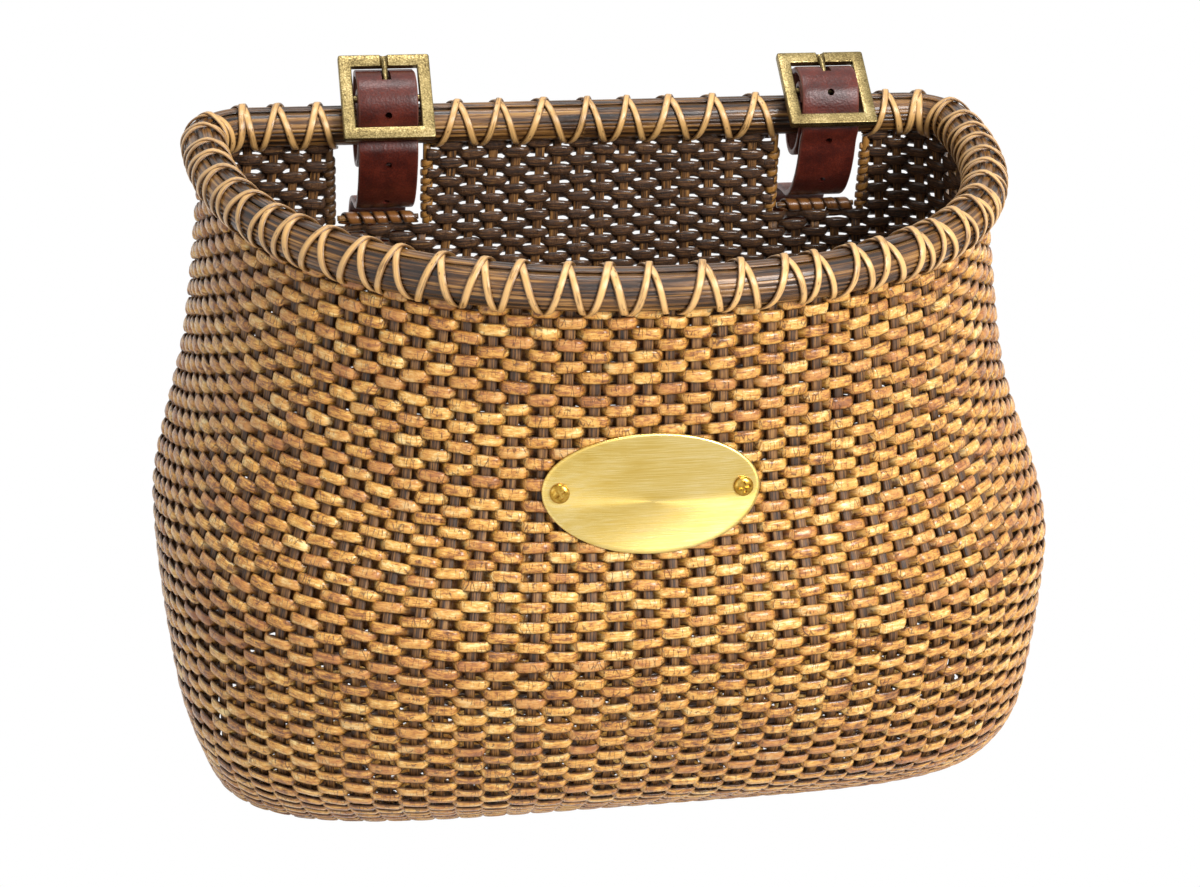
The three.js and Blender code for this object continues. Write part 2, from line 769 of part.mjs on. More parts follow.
sides.forEach((side, i) => {
  const x = slotXs[i];
  [-1, 1].forEach((edge) => {
    const name = `${side}_slot_post_${edge < 0 ? "outer" : "inner"}`;
    const toMiddle = side === "left" ? edge : -edge;
    const post = add(root, name, postGeometry(), materials.wrap);
    post.position.set(x + toMiddle * (slotWidth / 2 + postRadius), rimBack, slotFloor + gap);
  });
  const rodLength = slotWidth - 2 * gap;
  const rod = new THREE.CylinderGeometry(sillRodRadius, sillRodRadius, rodLength, 10).rotateZ(Math.PI / 2);
  add(root, `${side}_sill_rod`, rod, materials.pole).position.set(x, rimBack, sillHeight);
  add(root, `${side}_sill_wrap`, sillWrapGeometry(`${side}_sill_wrap`, x), materials.wrap);
});

for (const hanger of hangers) {
  const { side, x, lean } = hanger;
  const group = new THREE.Group();
  group.position.set(x, rimBack, rimHeight);
  root.add(group);
  const strap = add(group, `${side}_strap`, strapGeometry(hanger), materials.leather);
  strap.quaternion.copy(acrossX);
  const buckle = new THREE.Group();
  const centre = onBuckle(hanger, 0, buckleOut);
  buckle.position.set(0, centre.x, centre.y);
  buckle.rotation.x = lean;
  group.add(buckle);
  add(buckle, `${side}_buckle_frame`, buckleGeometry(), materials.brass);
  add(buckle, `${side}_buckle_prong`, prongGeometry(), materials.brass);
}

add(root, "front_plate", plateGeometry(), materials.plate);
sides.forEach((side, i) => {
  const { point, turn } = screwSeat(screwXs[i]);
  const seat = new THREE.Group();
  seat.position.copy(point);
  seat.quaternion.copy(turn);
  root.add(seat);
  add(seat, `plate_screw_${side}`, screwGeometry(), materials.plate);
  const nut = add(seat, `plate_nut_${side}`, nutGeometry(), materials.plate);
  nut.position.y = wallThickness + 2 * gap + nutThickness / 2;
});

// The whole stands with its middle over the origin: the straps' tails reach behind the back
root.position.y = (bellyFront + wallThickness / 2 - rimBack - tailReach) / 2;

export default root;
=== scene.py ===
import math

import bmesh
import bpy
import numpy as np
from mathutils import Matrix, Vector


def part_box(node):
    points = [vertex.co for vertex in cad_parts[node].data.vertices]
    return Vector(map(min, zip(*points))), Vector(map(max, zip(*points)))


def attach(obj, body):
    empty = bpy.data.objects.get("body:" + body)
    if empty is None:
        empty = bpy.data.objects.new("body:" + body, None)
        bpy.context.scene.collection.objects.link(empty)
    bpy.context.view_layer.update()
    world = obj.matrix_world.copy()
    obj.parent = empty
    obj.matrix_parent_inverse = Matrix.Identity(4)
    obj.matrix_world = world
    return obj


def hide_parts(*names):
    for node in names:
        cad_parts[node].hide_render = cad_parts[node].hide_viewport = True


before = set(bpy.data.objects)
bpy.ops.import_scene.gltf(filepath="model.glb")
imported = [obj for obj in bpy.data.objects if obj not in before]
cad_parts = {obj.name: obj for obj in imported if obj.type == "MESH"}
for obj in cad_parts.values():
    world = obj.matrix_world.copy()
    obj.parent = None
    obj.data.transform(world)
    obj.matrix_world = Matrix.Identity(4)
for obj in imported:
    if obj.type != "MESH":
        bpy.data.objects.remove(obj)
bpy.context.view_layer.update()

# A woven rattan handlebar basket with a laced rim and two buckled leather straps.
# Sizes here are in millimetres in the row's frame. Meshes are scaled to metres when they are made.
MM = 0.001
TAU = 2 * math.pi


def mm(value):
    return value * MM


def node_box(node):
    low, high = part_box(node)
    return np.array(low) / MM, np.array(high) / MM


# Camera, fitted to the outline of the photograph's basket
VIEW_AZIMUTH = -12.25
VIEW_ELEVATION = 26.58
VIEW_ROLL = 2.76
VIEW_DISTANCE = 1083.0
VIEW_TARGET = (3.65, 44.9, 104.82)
VIEW_LENS = 77.95


def make_camera():
    data = bpy.data.cameras.new("camera")
    data.lens = VIEW_LENS
    data.sensor_width = 36
    data.clip_start = 0.01
    camera = bpy.data.objects.new("camera", data)
    bpy.context.scene.collection.objects.link(camera)
    a, e, r = (math.radians(v) for v in (VIEW_AZIMUTH, VIEW_ELEVATION, VIEW_ROLL))
    back = Vector((math.sin(a) * math.cos(e), -math.cos(a) * math.cos(e), math.sin(e)))
    right = (-back).cross(Vector((0, 0, 1))).normalized()
    up = right.cross(-back)
    right, up = right * math.cos(r) + up * math.sin(r), up * math.cos(r) - right * math.sin(r)
    place = Vector(VIEW_TARGET) * MM + back * mm(VIEW_DISTANCE)
    camera.matrix_world = Matrix.Translation(place) @ Matrix((right, up, back)).transposed().to_4x4()
    bpy.context.scene.camera = camera


make_camera()
rng = np.random.RandomState(7)

# Driving sizes of the body, as in the frame
RIM_HEIGHT = 230.0
NECK_HEIGHT = 217.0
WALL = 6.0
FOOT = dict(half=161.0, front=107.0, back=42.5, corner=57.0, square=4.8)
BELLY = dict(half=178.0, front=163.0, back=45.0, corner=46.0, square=2.8)
NECK = dict(half=155.0, front=127.0, back=48.0, corner=18.0, square=2.3)
BELLY_SHARE = 0.42
SWELL_AT = np.array([0, 0.05, 0.16, 0.42, 0.72, 1])
SWELL = np.array([0, 0.26, 0.7, 1, 0.34, 0])
OUTER_Y = node_box("rim_outer_hoop")[1][1]
HOOP_RADIUS = 8.15
PLAN_Y = OUTER_Y - HOOP_RADIUS - NECK["back"]
STRAP_X = {side: float(np.mean([c[0] for c in node_box(f"{side}_strap")])) for side in ("left", "right")}
SLOT_X = {side: float(np.mean([c[0] for c in node_box(f"{side}_sill_rod")])) for side in ("left", "right")}
RIM_Y = PLAN_Y + NECK["back"]


def swell_at(share):
    """Monotone cubic through the swell shares, as in the frame."""
    rise = np.diff(SWELL) / np.diff(SWELL_AT)
    slope = np.zeros(len(SWELL))
    slope[0], slope[-1] = rise[0], rise[-1]
    for k in range(1, len(SWELL) - 1):
        a, b = rise[k - 1], rise[k]
        slope[k] = 2 * a * b / (a + b) if a * b > 0 else 0
    i = int(np.clip(np.searchsorted(SWELL_AT, share) - 1, 0, len(rise) - 1))
    span = SWELL_AT[i + 1] - SWELL_AT[i]
    t = min(max((share - SWELL_AT[i]) / span, 0), 1)
    return (
        (2 * t**3 - 3 * t**2 + 1) * SWELL[i]
        + (t**3 - 2 * t**2 + t) * span * slope[i]
        + (3 * t**2 - 2 * t**3) * SWELL[i + 1]
        + (t**3 - t**2) * span * slope[i + 1]
    )


def section_at(z):
    share = min(max(z / NECK_HEIGHT, 0), 1)
    near = FOOT if share < BELLY_SHARE else NECK
    s = swell_at(share)
    return {k: near[k] + (BELLY[k] - near[k]) * s for k in BELLY}


def outline_at(z, count):
    """Points evenly along the plan at a height, from the back's middle towards +X and round."""
    s = section_at(z)
    side = s["back"] - s["corner"]
    back = np.stack([np.linspace(0, s["half"] - s["corner"], 60, endpoint=False), np.full(60, s["back"])], 1)
    a = np.linspace(0, math.pi / 2, 40, endpoint=False)
    corner = np.stack([s["half"] - s["corner"] + s["corner"] * np.sin(a), side + s["corner"] * np.cos(a)], 1)
    a = np.linspace(0, math.pi / 2, 240)
    c, d = np.cos(a), np.sin(a)
    c[-1] = 0
    r = (c ** s["square"] + d ** s["square"]) ** (-1 / s["square"])
    front = np.stack([s["half"] * c * r, side - (s["front"] + side) * d * r], 1)
    half = np.concatenate([back, corner, front])
    full = np.concatenate([half, half[::-1][1:] * [-1, 1]])
    length = np.concatenate([[0], np.cumsum(np.linalg.norm(np.diff(full, axis=0), axis=1))])
    at = np.linspace(0, length[-1], count + 1)
    out = np.stack([np.interp(at, length, full[:, k]) for k in (0, 1)], 1)
    out[:, 1] += PLAN_Y
    return out, length[-1]


class Surface:
    """The wall's middle surface, read by (share of the way round, height)."""

    def __init__(self, top=RIM_HEIGHT, step=2.5, count=1440):
        self.count = count
        self.zs = np.arange(0, top + step, step)
        self.step = step
        rings = [outline_at(z, count) for z in self.zs]
        self.length = np.array([r[1] for r in rings])
        xy = np.array([r[0] for r in rings])
        z = np.broadcast_to(self.zs[:, None, None], xy.shape[:2] + (1,))
        self.grid = np.concatenate([xy, z], 2)
        along = np.roll(self.grid[:, :-1], -3, 1) - np.roll(self.grid[:, :-1], 3, 1)
        along = np.concatenate([along, along[:, :1]], 1)
        upward = np.gradient(self.grid, axis=0)
        normal = np.cross(upward, along)
        self.normals = normal / np.linalg.norm(normal, axis=2, keepdims=True)

    def _read(self, table, share, z):
        u = (np.asarray(share) % 1) * self.count
        v = np.clip(np.asarray(z) / self.step, 0, len(self.zs) - 1.001)
        i, j = np.floor(v).astype(int), np.floor(u).astype(int) % self.count
        fv, fu = (v - np.floor(v))[:, None], (u - np.floor(u))[:, None]
        low = table[i, j] * (1 - fu) + table[i, j + 1] * fu
        high = table[i + 1, j] * (1 - fu) + table[i + 1, j + 1] * fu
        return low * (1 - fv) + high * fv

    def at(self, share, z):
        normal = self._read(self.normals, share, z)
        normal /= np.linalg.norm(normal, axis=1, keepdims=True)
        return self._read(self.grid, share, z), normal

    def around(self, z):
        return float(np.interp(z, self.zs, self.length))


surface = Surface()


# Mesh helpers
def new_mesh(name, verts, faces, body, replaces=(), slot=None, material=None, attributes=None, smooth=True):
    """verts in millimetres, faces as an array of quads or a list of loops."""
    mesh = bpy.data.meshes.new(name)
    verts = np.asarray(verts, np.float32) * MM
    if isinstance(faces, np.ndarray):
        mesh.vertices.add(len(verts))
        mesh.vertices.foreach_set("co", verts.ravel())
        mesh.loops.add(faces.size)
        mesh.loops.foreach_set("vertex_index", faces.ravel().astype(np.int32))
        mesh.polygons.add(len(faces))
        mesh.polygons.foreach_set("loop_start", np.arange(0, faces.size, faces.shape[1], dtype=np.int32))
        mesh.update(calc_edges=True)
    else:
        mesh.from_pydata(verts.tolist(), [], faces)
    mesh.validate()
    for key, values in (attributes or {}).items():
        values = np.asarray(values, np.float32)
        kind = "FLOAT_VECTOR" if values.ndim == 2 else "FLOAT"
        layer = mesh.attributes.new(key, kind, "POINT")
        layer.data.foreach_set("vector" if values.ndim == 2 else "value", values.ravel())
    if smooth:
        mesh.polygons.foreach_set("use_smooth", np.ones(len(mesh.polygons), bool))
    obj = bpy.data.objects.new(name, mesh)
    bpy.context.scene.collection.objects.link(obj)
    if material:
        mesh.materials.append(material)
    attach(obj, body)
    if replaces:
        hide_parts(*replaces)
    return obj


def tube_faces(rows, sides, closed, first=0):
    """Quads of a tube of rings, each ring with the same number of sides. Open tubes are capped by quads."""
    i = np.arange(rows if closed else rows - 1)[:, None]
    j = np.arange(sides)[None, :]
    k = (j + 1) % sides
    n = (i + 1) % rows
    quads = np.stack([i * sides + j, i * sides + k, n * sides + k, n * sides + j], -1).reshape(-1, 4)
    if not closed:
        caps = []
        for base, flip in ((0, True), ((rows - 1) * sides, False)):
            for c in range(sides // 2 - 1):
                quad = [base + c, base + c + 1, base + sides - 2 - c, base + sides - 1 - c]
                caps.append(quad[::-1] if flip else quad)
        quads = np.concatenate([quads, np.array(caps)])
    return quads + first


class Batch:
    """Many tubes gathered into one mesh, with per-vertex attributes."""

    def __init__(self):
        self.verts, self.faces, self.data, self.count = [], [], {}, 0

    def tube(self, rings, closed=False, **attributes):
        rows, sides = rings.shape[:2]
        self.verts.append(rings.reshape(-1, 3))
        self.faces.append(tube_faces(rows, sides, closed, self.count))
        for key, value in attributes.items():
            value = np.asarray(value, float)
            if value.ndim == 1:
                value = np.repeat(value[:, None], sides, 1).reshape(-1)
            else:
                value = value.reshape(-1, *value.shape[2:])
            self.data.setdefault(key, []).append(value)
        self.count += rows * sides

    def make(self, name, body, **options):
        attributes = {k: np.concatenate(v) for k, v in self.data.items()}
        return new_mesh(name, np.concatenate(self.verts), np.concatenate(self.faces), body, attributes=attributes, **options)


def section(sides, squareness=2.4, ridges=0, ridge_depth=0.0):
    """Unit cross-section: columns are the shares along the width and along the thickness."""
    a = np.arange(sides) / sides * TAU + TAU / sides / 2
    c, s = np.cos(a), np.sin(a)
    r = (np.abs(c) ** squareness + np.abs(s) ** squareness) ** (-1 / squareness)
    if ridges:
        r = r * (1 - ridge_depth * (0.5 + 0.5 * np.cos(ridges * a)))
    return np.stack([c * r, s * r], 1)


def sweep(points, thick_dir, width, thickness, shape, closed=False, twist=None):
    """Rings of a flat strand along points. thick_dir is the thickness's direction, width and thickness full sizes."""
    if closed:
        tangent = np.roll(points, -1, 0) - np.roll(points, 1, 0)
    else:
        tangent = np.gradient(points, axis=0)
    tangent /= np.linalg.norm(tangent, axis=1, keepdims=True)
    across = np.cross(tangent, thick_dir)
    across /= np.linalg.norm(across, axis=1, keepdims=True)
    outward = np.cross(across, tangent)
    if twist is not None:
        c, s = np.cos(twist)[:, None], np.sin(twist)[:, None]
        across, outward = across * c + outward * s, outward * c - across * s
    width = np.broadcast_to(width, len(points))[:, None, None] / 2
    thickness = np.broadcast_to(thickness, len(points))[:, None, None] / 2
    return points[:, None] + across[:, None] * width * shape[None, :, :1] + outward[:, None] * thickness * shape[None, :, 1:]


def smooth_noise(count, points, amount, seed, closed=True):
    """Smooth random values at count places, from a few seeded knots."""
    r = np.random.RandomState(seed)
    knots = r.uniform(-1, 1, points)
    t = np.arange(count) / count * points
    i = np.floor(t).astype(int)
    f = t - i
    f = f * f * (3 - 2 * f)
    return amount * (knots[i % points] * (1 - f) + knots[(i + 1) % points] * f)


# Materials
class Nodes:
    """A short way to write node trees."""

    def __init__(self, name):
        self.material = bpy.data.materials.new(name)
        self.material.use_nodes = True
        self.tree = self.material.node_tree
        self.bsdf = self.tree.nodes["Principled BSDF"]

    def link(self, value, socket):
        if isinstance(value, bpy.types.NodeSocket):
            self.tree.links.new(value, socket)
        else:
            socket.default_value = value

    def node(self, kind, inputs=None, out=0, **props):
        n = self.tree.nodes.new(kind)
        for k, v in props.items():
            setattr(n, k, v)
        for k, v in (inputs or {}).items():
            self.link(v, n.inputs[k])
        return n.outputs[out]

    def attribute(self, name, out="Fac"):
        return self.node("ShaderNodeAttribute", attribute_name=name, out=out)

    def math(self, op, a, b=0.0, c=0.0, clamp=False):
        return self.node("ShaderNodeMath", {0: a, 1: b, 2: c}, operation=op, use_clamp=clamp)

    def noise(self, vector, scale, detail=4.0, roughness=0.55, distortion=0.0):
        inputs = {"Vector": vector, "Scale": scale, "Detail": detail, "Roughness": roughness, "Distortion": distortion}
        return self.node("ShaderNodeTexNoise", inputs)

    def stretch(self, vector, scale):
        return self.node("ShaderNodeMapping", {"Vector": vector, "Scale": scale})

    def ramp(self, fac, stops, smooth=False):
        n = self.tree.nodes.new("ShaderNodeValToRGB")
        n.color_ramp.interpolation = "EASE" if smooth else "LINEAR"
        while len(n.color_ramp.elements) < len(stops):
            n.color_ramp.elements.new(0.5)
        for element, (at, colour) in zip(n.color_ramp.elements, stops):
            element.position = at
            element.color = (*colour, 1) if len(colour) == 3 else colour
        self.link(fac, n.inputs["Fac"])
        return n.outputs["Color"]

    def mix(self, fac, a, b, blend="MIX"):
        n = self.tree.nodes.new("ShaderNodeMix")
        n.data_type = "RGBA"
        n.blend_type = blend
        self.link(fac, n.inputs["Factor"])
        self.link(a if not isinstance(a, tuple) else (*a, 1), n.inputs["A"])
        self.link(b if not isinstance(b, tuple) else (*b, 1), n.inputs["B"])
        return n.outputs["Result"]

    def span(self, value, low, high, to_low=0.0, to_high=1.0):
        inputs = {"Value": value, "From Min": low, "From Max": high, "To Min": to_low, "To Max": to_high}
        return self.node("ShaderNodeMapRange", inputs)

    def bump(self, height, distance, strength=1.0, normal=None):
        inputs = {"Height": height, "Distance": distance, "Strength": strength}
        if normal is not None:
            inputs["Normal"] = normal
        return self.node("ShaderNodeBump", inputs)

    def set(self, **sockets):
        for k, v in sockets.items():
            self.link(v, self.bsdf.inputs[k.replace("_", " ")])
        return self.material


def rgb(text):
    """Linear colour from a six-digit sRGB code."""
    parts = [int(text[i : i + 2], 16) / 255 for i in (0, 2, 4)]
    return tuple(p / 12.92 if p <= 0.04045 else ((p + 0.055) / 1.055) ** 2.4 for p in parts)


def weaver_material():
    m = Nodes("weaver_cane")
    grain = m.attribute("grain", "Vector")
    tone = m.attribute("tone")
    ends = m.attribute("ends")
    inside = m.attribute("inside")
    fine = m.noise(m.stretch(grain, (0.3, 1.3, 1.3)), 1.6, 5.0, 0.7)
    streak = m.noise(m.stretch(grain, (0.07, 2.2, 2.2)), 1.0, 3.0, 0.6)
    patch = m.noise(m.stretch(grain, (0.24, 0.5, 0.5)), 1.0, 3.0, 0.6)
    blotch = m.noise(m.stretch(grain, (0.17, 0.45, 0.45)), 1.0, 3.0, 0.6, 0.6)
    mixed = m.math("ADD", m.math("MULTIPLY", fine, 0.6), m.math("MULTIPLY", patch, 0.7))
    mixed = m.math("ADD", mixed, m.math("MULTIPLY", streak, 0.3))
    golden = m.ramp(m.math("ADD", mixed, m.math("MULTIPLY", tone, 0.08)), [
        (0.57, rgb("5f350f")),
        (0.69, rgb("a06426")),
        (0.79, rgb("cc903c")),
        (0.89, rgb("dfaa55")),
        (1.0, rgb("f0d08c")),
    ])
    reddish = m.mix(m.math("MULTIPLY", m.attribute("red"), 0.5), golden, rgb("a9683a"))
    # Painted shade: the stroke tips darken where the strand dives behind the stakes (ends), and the strand's edges
    # darken between the rows (edge). The blotches added to it are the cane's own darker patches.
    shade = m.math("MAXIMUM", m.math("MULTIPLY", ends, 0.85), m.math("MULTIPLY", m.span(m.attribute("edge"), 0.6, 1.0), 0.7))
    shade_and_blotch = m.span(m.math("ADD", shade, m.math("MULTIPLY", blotch, 0.9)), 0.72, 1.1)
    brown = m.mix(m.math("MULTIPLY", shade_and_blotch, 0.85), reddish, rgb("4f2a0d"))
    cracks = m.node("ShaderNodeTexVoronoi", {"Vector": m.stretch(grain, (0.5, 0.12, 0.12)), "Scale": 1.0},
                    feature="DISTANCE_TO_EDGE")
    crack = m.math("MULTIPLY", m.span(cracks, 0.06, 0.0), m.span(blotch, 0.44, 0.56))
    speck = m.mix(m.math("MULTIPLY", crack, 0.85), brown, rgb("4a260b"))
    fibre = m.math("ADD", m.math("MULTIPLY", fine, 0.4), m.math("MULTIPLY", streak, 0.6))
    bark = m.ramp(fibre, [(0.36, rgb("120904")), (0.48, rgb("38210f")), (0.58, rgb("634020")), (0.7, rgb("9c733f"))])
    colour = m.mix(m.span(inside, 0.5, 0.72), speck, bark)
    height = m.math("ADD", m.math("MULTIPLY", fine, 0.8), m.math("MULTIPLY", patch, 0.5))
    height = m.math("SUBTRACT", height, m.math("MULTIPLY", crack, 0.5))
    return m.set(
        Base_Color=colour,
        Roughness=m.math("MAXIMUM", m.span(fine, 0.35, 0.7, 0.46, 0.28), m.math("MULTIPLY", inside, 0.7)),
        Specular_IOR_Level=0.4,
        Coat_Weight=0.42,
        Coat_Roughness=0.16,
        Normal=m.bump(height, mm(0.7), 0.7),
    )


def stake_material():
    m = Nodes("stake_rattan")
    grain = m.attribute("grain", "Vector")
    lines = m.noise(m.stretch(grain, (0.04, 1.5, 1.5)), 1.0, 3.0, 0.6)
    spots = m.noise(m.stretch(grain, (0.12, 0.4, 0.4)), 1.0, 3.0, 0.6)
    colour = m.ramp(m.math("ADD", m.math("MULTIPLY", lines, 0.7), m.math("MULTIPLY", spots, 0.4)), [
        (0.38, rgb("160c05")),
        (0.49, rgb("3f2711")),
        (0.58, rgb("704a25")),
        (0.72, rgb("a87a42")),
    ])
    return m.set(Base_Color=colour, Roughness=0.5, Normal=m.bump(lines, mm(0.6), 0.7))


def pole_material():
    m = Nodes("rim_pole")
    grain = m.attribute("grain", "Vector")
    ridge = m.attribute("ridge")
    lines = m.noise(m.stretch(grain, (0.02, 0.9, 0.9)), 1.0, 5.0, 0.7)
    spots = m.noise(m.stretch(grain, (0.025, 0.12, 0.12)), 1.0, 3.0, 0.6)
    mixed = m.math("ADD", m.math("MULTIPLY", lines, 0.65), m.math("MULTIPLY", spots, 0.4))
    # Painted shade: the ridge value lightens the pole on its ridges and darkens it in its furrows.
    mixed = m.math("ADD", mixed, m.math("MULTIPLY", ridge, 0.1))
    colour = m.ramp(mixed, [
        (0.45, rgb("130a05")),
        (0.54, rgb("35200f")),
        (0.61, rgb("6a4621")),
        (0.69, rgb("9f733c")),
        (0.8, rgb("d0a665")),
    ])
    tanned = m.mix(m.math("MULTIPLY", m.span(spots, 0.56, 0.68), 0.4), colour, rgb("7a522a"))
    rough = m.span(lines, 0.3, 0.7, 0.46, 0.26)
    return m.set(Base_Color=tanned, Roughness=rough, Specular_IOR_Level=0.3, Coat_Weight=0.35, Coat_Roughness=0.14, Normal=m.bump(lines, mm(0.8), 0.7))


def cane_material(name, light, dark, rough=0.36):
    m = Nodes(name)
    grain = m.attribute("grain", "Vector")
    fine = m.noise(m.stretch(grain, (0.12, 1.8, 1.8)), 1.2, 4.0, 0.6)
    spots = m.noise(m.stretch(grain, (0.09, 0.15, 0.15)), 1.0, 3.0, 0.6)
    edge = m.attribute("edge")
    body = m.ramp(m.math("ADD", m.math("MULTIPLY", fine, 0.55), m.math("MULTIPLY", spots, 0.45)), [
        (0.33, dark),
        (0.46, light),
        (0.7, tuple(min(1, c * 1.25) for c in light)),
    ])
    flecks = m.node("ShaderNodeTexVoronoi", {"Vector": m.stretch(grain, (0.25, 0.5, 0.5)), "Scale": 1.0})
    marked = m.mix(m.math("MULTIPLY", m.span(flecks, 0.2, 0.07), 0.75), body, dark)
    # Painted shade: the strip darkens towards its edges, where it turns under against what it lies on.
    colour = m.mix(m.math("MULTIPLY", m.span(edge, 0.5, 0.95), 0.85), marked, dark)
    return m.set(Base_Color=colour, Roughness=rough, Specular_IOR_Level=0.6, Normal=m.bump(fine, mm(0.3), 0.5))


def leather_material(name, light, middle, dark, edge_x=None, rough=0.42):
    """Grained leather in the piece's own coordinates. edge_x is the strap's middle, and its cut edges are lighter."""
    m = Nodes(name)
    place = m.node("ShaderNodeTexCoord", out="Object")
    fine = m.node("ShaderNodeTexVoronoi", {"Vector": place, "Scale": 1500.0, "Randomness": 1.0})
    pebble = m.node("ShaderNodeTexVoronoi", {"Vector": place, "Scale": 900.0}, feature="SMOOTH_F1")
    cloud = m.noise(place, 90.0, 4.0, 0.6)
    colour = m.ramp(m.math("ADD", m.math("MULTIPLY", cloud, 0.8), m.math("MULTIPLY", fine, 0.25)), [
        (0.35, dark),
        (0.52, middle),
        (0.72, light),
    ])
    if edge_x is not None:
        xyz = m.tree.nodes.new("ShaderNodeSeparateXYZ")
        m.link(place, xyz.inputs[0])
        away = m.math("ABSOLUTE", m.math("SUBTRACT", xyz.outputs["X"], mm(edge_x)))
        colour = m.mix(m.math("MULTIPLY", m.span(away, mm(11.2), mm(11.9)), 0.5), colour, rgb("8a5548"))
    height = m.math("ADD", m.math("MULTIPLY", pebble, 0.8), m.math("MULTIPLY", fine, 0.35))
    return m.set(
        Base_Color=colour,
        Roughness=m.span(fine, 0.0, 0.8, rough + 0.1, rough - 0.08),
        Specular_IOR_Level=0.3,
        Coat_Weight=0.12,
        Coat_Roughness=0.3,
        Normal=m.bump(height, mm(0.22), 0.55),
    )


def brass_material():
    m = Nodes("antique_brass")
    place = m.node("ShaderNodeTexCoord", out="Object")
    mottle = m.noise(place, 1500.0, 4.0, 0.65)
    cloud = m.noise(place, 90.0, 3.0, 0.6)
    colour = m.ramp(m.math("ADD", m.math("MULTIPLY", mottle, 0.75), m.math("MULTIPLY", cloud, 0.35)), [
        (0.38, rgb("463a25")),
        (0.5, rgb("71623f")),
        (0.6, rgb("8f7e54")),
        (0.74, rgb("bcab80")),
    ])
    return m.set(
        Base_Color=colour,
        Metallic=1.0,
        Roughness=m.span(mottle, 0.35, 0.65, 0.48, 0.34),
        Normal=m.bump(mottle, mm(0.15), 0.4),
    )


def gold_material(name, brushed):
    m = Nodes(name)
    place = m.node("ShaderNodeTexCoord", out="Object")
    scale = (60.0, 1500.0, 3200.0) if brushed else (500.0, 500.0, 500.0)
    hairs = m.noise(m.stretch(place, scale), 1.0, 4.0, 0.65)
    cloud = m.noise(m.stretch(place, (30.0, 30.0, 60.0)), 1.0, 3.0, 0.6)
    tones = ("ceac54", "dfc272", "edd698") if brushed else ("8f6a20", "b98f3a", "dcb965")
    colour = m.ramp(m.math("ADD", m.math("MULTIPLY", hairs, 0.6), m.math("MULTIPLY", cloud, 0.3)), [
        (0.34, rgb(tones[0])),
        (0.46, rgb(tones[1])),
        (0.6, rgb(tones[2])),
    ])
    return m.set(
        Base_Color=colour,
        Metallic=1.0,
        Roughness=m.span(hairs, 0.3, 0.7, 0.36, 0.22) if brushed else 0.2,
        Anisotropic=0.6 if brushed else 0.0,
        Normal=m.bump(hairs, mm(0.05), 0.35 if brushed else 0.15),
    )


weaver_look = weaver_material()
stake_look = stake_material()
pole_look = pole_material()
lace_look = cane_material("lacing_cane", rgb("cfa265"), rgb("54300f"), 0.32)
wrap_look = cane_material("wrap_cane", rgb("86562a"), rgb("2c1507"), 0.28)
pale_post_look = cane_material("pale_slot_cane", rgb("a67538"), rgb("3f240e"))
dark_post_look = cane_material("dark_slot_cane", rgb("5a3e22"), rgb("20130a"))
under_look = leather_material("leather_underside", rgb("a8776a"), rgb("8c5a4e"), rgb("6b4038"), rough=0.62)
brass_look = brass_material()
plate_look = gold_material("brushed_plate", True)
screw_look = gold_material("polished_screw", False)

# Weave: stakes stand on the middle surface and the weavers pass them in front and behind in turn
STAKES = 92
ROW_LOW = 1.9
ROW_TOP = RIM_HEIGHT - 8.6
SILL_ROW = 185.6
PITCH_AT = np.array([0, 9, 15, 45, 75, 95, 130, 150, 230])
ROW_PITCH = np.array([2.6, 2.6, 3.9, 4.3, 4.1, 3.5, 3.5, 3.85, 3.95])
HEM_ROWS = 4
TURN_PITCH = 4.15
STEPS = 8
STRAND_THICK = 1.8
STRAND_OUT = 2.1
STROKE_AT = [40, 90]
STROKE_OUTSIDE = [1.04, 1.18]
STROKE_INSIDE = 1.22
STROKE_PINCH = 1.15
BACK_PINCH = 0.87
STAKE_WIDTH = 4.2
STAKE_THICK = 2.3
SLOT_HALF = 17.0
POST_OUT = 2.9
SLOT_FLOOR = node_box("left_slot_post_inner")[0][2]


def row_heights():
    """Heights of the weavers, by a pitch along the wall's slope. One row lies just under the slots' sills."""
    zs = np.linspace(ROW_LOW, ROW_TOP, 440)
    points, _ = surface.at(np.full(len(zs), 0.5), zs)
    steps = np.linalg.norm(np.diff(points, axis=0), axis=1) / np.interp(zs[1:], PITCH_AT, ROW_PITCH)
    number = np.concatenate([[0], np.cumsum(steps)])
    sill = float(np.interp(SILL_ROW, zs, number))
    below, above = round(sill), round(number[-1] - sill)
    at = np.concatenate([np.linspace(0, sill, below, endpoint=False), np.linspace(sill, number[-1], above + 1)])
    return [float(z) for z in np.interp(at, number, zs)]


ROWS = row_heights()


def strand_offset(stake, parity, lean):
    """How far a weaver stands out, from -1 to 1, flat over each stake. lean makes the outer strokes longer."""
    return np.tanh(2.8 * (np.cos(math.pi * (stake + parity)) + lean)) / math.tanh(2.8)


